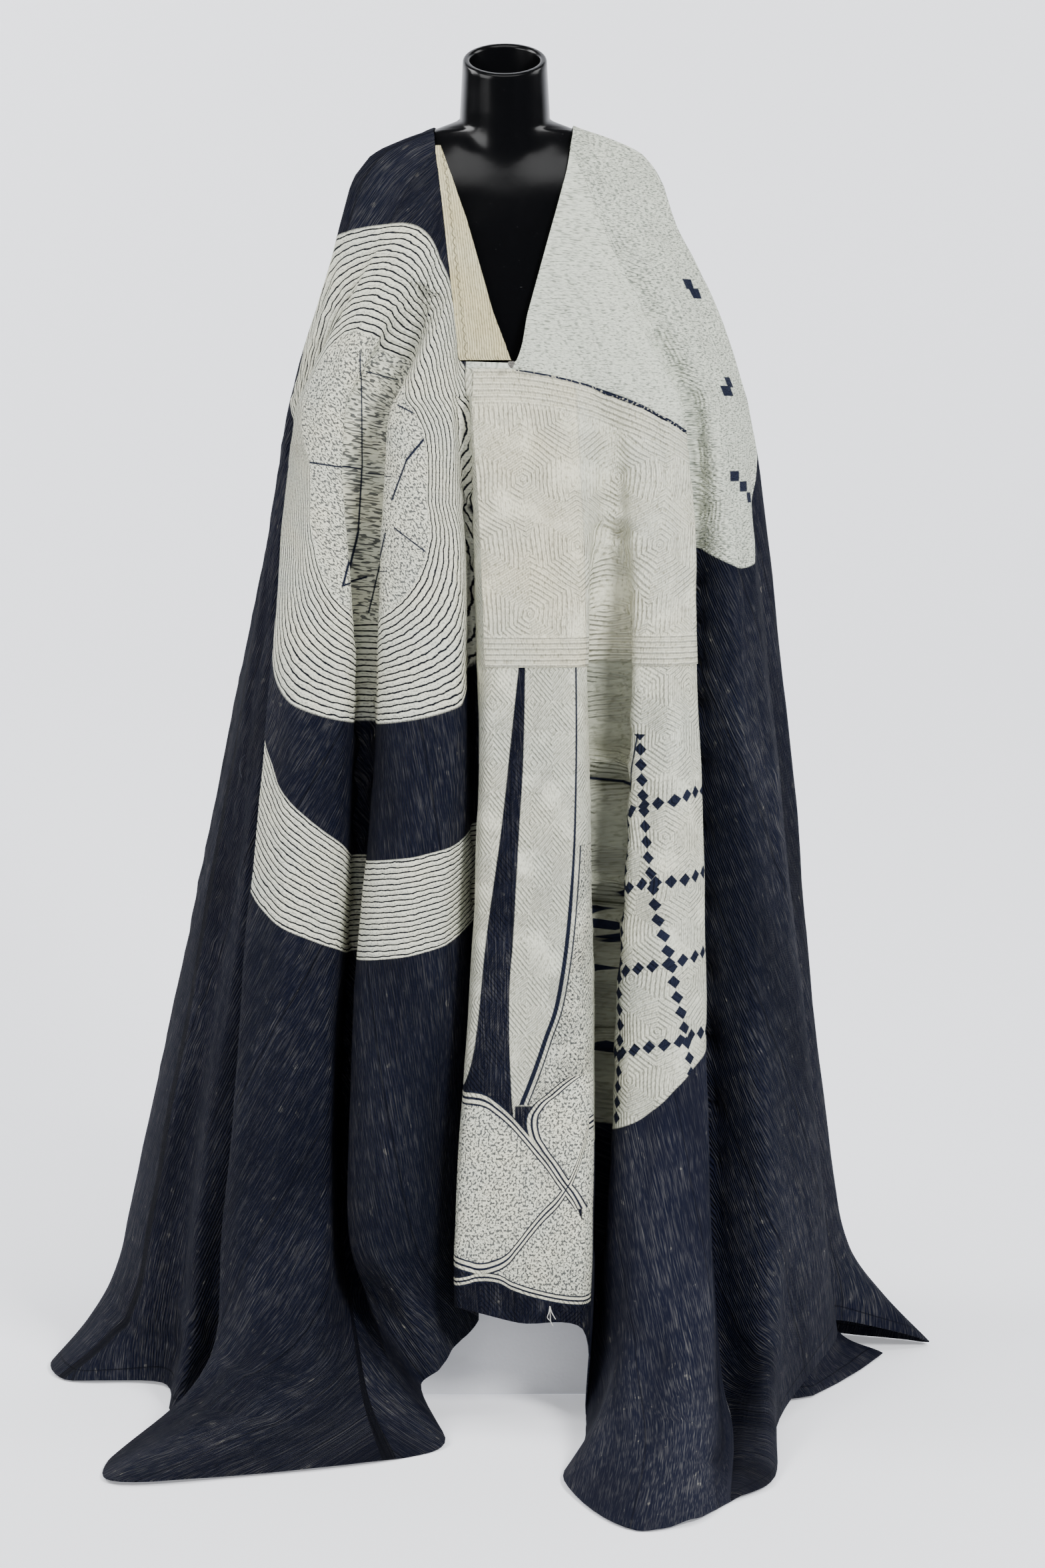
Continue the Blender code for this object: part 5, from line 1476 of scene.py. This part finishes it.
def corner_piece(material):
    """The back's corner that shows below the open sleeve end and lies out over the floor."""
    part = columns_of(UNDER_FOLDS[0].name, UNDER_FOLDS[-1].name)
    own = COLUMNS[part]
    base = []
    for number, v in enumerate(UNDER_LEVELS):
        row = row_at(v)
        inward = CLOTH + SEAM_GAP if number == 0 else UNDER_IN
        base.append(GRID[row, part] - NORMALS[row, part] * inward)
    marks = [COLUMNS[column_at(fold.name)] for fold in UNDER_FOLDS]
    ends = [np.column_stack([np.interp(own, marks, [getattr(fold, place)[axis] for fold in UNDER_FOLDS])
                             for axis in range(3)]) for place in ("pool", "hem")]
    params = np.linspace(0.0, len(UNDER_LEVELS) + 1.0, UNDER_STEPS + 1)
    columns = []
    for column in range(len(own)):
        stations = [row[column] for row in base] + [end[column] for end in ends]
        columns.append(curve_through(stations, params))
    middle = np.array(columns).transpose(1, 0, 2)
    middle = rippled(middle, grid_normals(middle, round_trip=False))
    middle[:, :, 2] = np.maximum(middle[:, :, 2], CLOTH / 2 + FLOOR_GAP)
    points, faces = wall(middle, grid_normals(middle, round_trip=False), CLOTH)
    across = np.concatenate([np.zeros((len(middle), 1)),
                             np.cumsum(np.linalg.norm(np.diff(middle, axis=1), axis=2), axis=1)], axis=1)
    fall = np.concatenate([np.zeros((1, middle.shape[1])),
                           np.cumsum(np.linalg.norm(np.diff(middle, axis=0), axis=2), axis=0)])
    shape = middle.shape[:2]
    thread = np.stack([across, fall, np.zeros(shape)], axis=2).reshape(-1, 3)
    rounds = np.stack([np.zeros(shape), middle[:, :, 2], fall[-1] - fall], axis=2).reshape(-1, 3)
    return add_piece("back_corner_left", points, faces,
                     {"thread": np.vstack([thread] * 2), "round": np.vstack([rounds] * 2)},
                     material, "back_corner_left")


def tube(name, paths, radius, material, sides=7):
    """Round cords or threads along paths of points, as one piece."""
    points, faces = [], []
    for path in paths:
        path = np.asarray(path, float)
        ways = np.gradient(path, axis=0)
        ways /= np.linalg.norm(ways, axis=1)[:, None] + 1e-12
        base = len(points)
        side = np.cross(ways[0], (0.31, 0.52, 0.79))
        for spot, way in zip(path, ways):
            side = side - way * side.dot(way)
            side /= np.linalg.norm(side)
            other = np.cross(way, side)
            for step in range(sides):
                turn = 2 * math.pi * step / sides
                points.append(spot + radius * (side * math.cos(turn) + other * math.sin(turn)))
        for row in range(len(path) - 1):
            for step in range(sides):
                a, b = base + row * sides + step, base + row * sides + (step + 1) % sides
                faces.append((a, b, b + sides, a + sides))
        faces.append(tuple(base + step for step in range(sides))[::-1])
        faces.append(tuple(base + (len(path) - 1) * sides + step for step in range(sides)))
    return add_piece(name, points, faces, {}, material, None)


def smooth_path(stations, steps=40):
    return curve_through(stations, np.linspace(0.0, len(stations) - 1.0, steps))


def neck_knot(material):
    """The small cord knot where the two neck edges meet."""
    middle = np.array(KNOT_PLACE)
    turns = np.linspace(0.0, 2 * math.pi, 61)
    loops = np.column_stack([np.sin(turns) + 2 * np.sin(2 * turns), np.sin(3 * turns) * 0.6,
                             np.cos(turns) - 2 * np.cos(2 * turns)])
    return tube("neck_knot", [middle + loops * KNOT_SIZE], 0.0013, material)


def hem_threads(material):
    """Loose pale thread ends at the front hem."""
    x, y, z = HEM_TUFT
    paths = []
    for turn, length in ((-0.3, 0.018), (0.1, 0.024), (0.5, 0.016)):
        paths.append(smooth_path([(x, y, z), (x + 0.004 * turn, y - 0.003, z - length * 0.4),
                                  (x + 0.010 * turn, y - 0.004, z - length * 0.75),
                                  (x + 0.008 * turn + 0.003, y - 0.002, z - length)], 14))
    return tube("hem_threads", paths, 0.0005, material, 5)


def side_thread(material):
    """One loose thread at the right sleeve's edge."""
    row, column = row_at(2.15), column_at("left_layer", 0.6)
    spot, way = GRID[row, column], NORMALS[row, column]
    start = spot + way * (CLOTH / 2)
    paths = [smooth_path([start, start + way * 0.006 + (0, 0, -0.006), start + way * 0.009 + (0, 0, -0.020),
                          start + way * 0.004 + (0, 0, -0.034)], 16)]
    return tube("side_thread", paths, 0.0004, material, 5)


def shown_finish(node, material):
    """A CAD part that is shown as it is gets the finish on its own material slots."""
    mesh = bpy.data.objects[node].data
    if not mesh.materials:
        mesh.materials.append(material)
    for number in range(len(mesh.materials)):
        mesh.materials[number] = material


def studio():
    """Pale seamless floor and backdrop, soft light from above and in front."""
    floor_paint = Paint("studio_floor")
    x, y, z = floor_paint.place()
    tone = floor_paint.noise(floor_paint.spot(x, y, z), 0.6, 1.0)
    pale = floor_paint.mix(tone * 0.2, (0.86, 0.87, 0.91), (0.82, 0.83, 0.87))
    floor_paint.finish(pale, None, 0, 0.75, 0.0, 0.2)
    floor_paint.tree.links.new(pale, floor_paint.shader.inputs["Emission Color"])
    glow = z.below(0.35, 0.35) * FLOOR_GLOW + BACKDROP_GLOW
    put(floor_paint.tree, glow, floor_paint.shader.inputs["Emission Strength"])
    profile = [(-7.0, 0.0), (1.6, 0.0)]
    for step in range(1, 17):
        turn = math.pi / 2 * step / 16
        profile.append((1.6 + 1.2 * math.sin(turn), 1.2 * (1 - math.cos(turn))))
    profile.append((2.8, 5.0))
    points = [(side, y, z) for y, z in profile for side in (-6.0, 6.0)]
    faces = [(2 * n, 2 * n + 1, 2 * n + 3, 2 * n + 2) for n in range(len(profile) - 1)]
    mesh = bpy.data.meshes.new("studio_floor")
    mesh.from_pydata(points, [], faces)
    mesh.shade_smooth()
    mesh.materials.append(floor_paint.material)
    floor = bpy.data.objects.new("studio_floor", mesh)
    bpy.context.scene.collection.objects.link(floor)
    world = bpy.data.worlds.new("studio")
    world.use_nodes = True
    background = world.node_tree.nodes["Background"]
    background.inputs["Color"].default_value = (0.93, 0.95, 1.0, 1.0)
    background.inputs["Strength"].default_value = WORLD_LIGHT
    bpy.context.scene.world = world
    for name, spot, aim, size, power in LIGHTS:
        data = bpy.data.lights.new(name, "AREA")
        data.shape = "RECTANGLE"
        data.size, data.size_y = size
        data.energy = power
        light = bpy.data.objects.new(name, data)
        light.location = spot
        way = mathutils.Vector(aim) - mathutils.Vector(spot)
        light.rotation_euler = way.to_track_quat("-Z", "Y").to_euler()
        light.visible_glossy = name not in ("key", "fill")
        bpy.context.scene.collection.objects.link(light)


WORLD_LIGHT = 0.09
FLOOR_GLOW = 0.26
BACKDROP_GLOW = 0.12
LIGHTS = [
    ("key", (2.7, -4.0, 3.5), (0.0, 0.0, 0.95), (1.3, 1.2), 430.0),
    ("fill", (-1.6, -5.0, 2.6), (0.0, 0.0, 0.9), (2.0, 1.6), 36.0),
    ("top", (0.0, -1.4, 4.4), (0.0, 0.1, 0.6), (2.6, 1.6), 50.0),
    ("floor_left", (-2.4, -1.8, 3.0), (-1.6, -1.4, 0.0), (1.6, 1.6), 60.0),
    ("backdrop_left", (-2.6, 0.4, 3.4), (-0.8, 2.8, 1.2), (1.8, 1.8), 140.0),
    ("backdrop_right", (2.6, 0.4, 3.4), (0.8, 2.8, 1.2), (1.8, 1.8), 70.0),
]

indigo = indigo_material()
ROBE = (
    ("front", "ridge_1_left", "valley_4", front_material()),
    ("sleeve_left", "valley_4", "back_valley_1", sleeve_material()),
    ("back", "back_valley_1", "back_valley_6", indigo),
    ("sleeve_right", "back_valley_6", "ridge_1_left", right_sleeve_material()),
)
pieces = {name: robe_piece(name, first, last, material)
          for name, first, last, material in ROBE}
pieces["pocket_panel"] = pocket_piece(pocket_material())
pieces["neck_facing"] = facing_piece(facing_material())
pieces["back_corner_left"] = corner_piece(indigo)
add_piece("dress_form", FORM_POINTS, FORM_FACES, {}, form_material(), "dress_form")
knot = neck_knot(thread_material("knot_cord", (0.16, 0.155, 0.14)))
tuft = hem_threads(thread_material("thread_pale", (0.70, 0.69, 0.63)))
stray = side_thread(thread_material("thread_dark", (0.05, 0.055, 0.075)))
shown_finish("plinth", plinth_material())
for node in ("stand_flange", "stand_pole"):
    shown_finish(node, steel_material())

studio()

camera_data = bpy.data.cameras.new("camera")
camera_data.lens = 81.0
camera_data.sensor_width = 36.0
camera = bpy.data.objects.new("camera", camera_data)
camera.location = (0.0227, -4.6, 1.25)
aim = mathutils.Vector((0.0227, 0.0, 0.76)) - camera.location
camera.rotation_euler = aim.to_track_quat("-Z", "Y").to_euler()
bpy.context.scene.collection.objects.link(camera)
bpy.context.scene.camera = camera
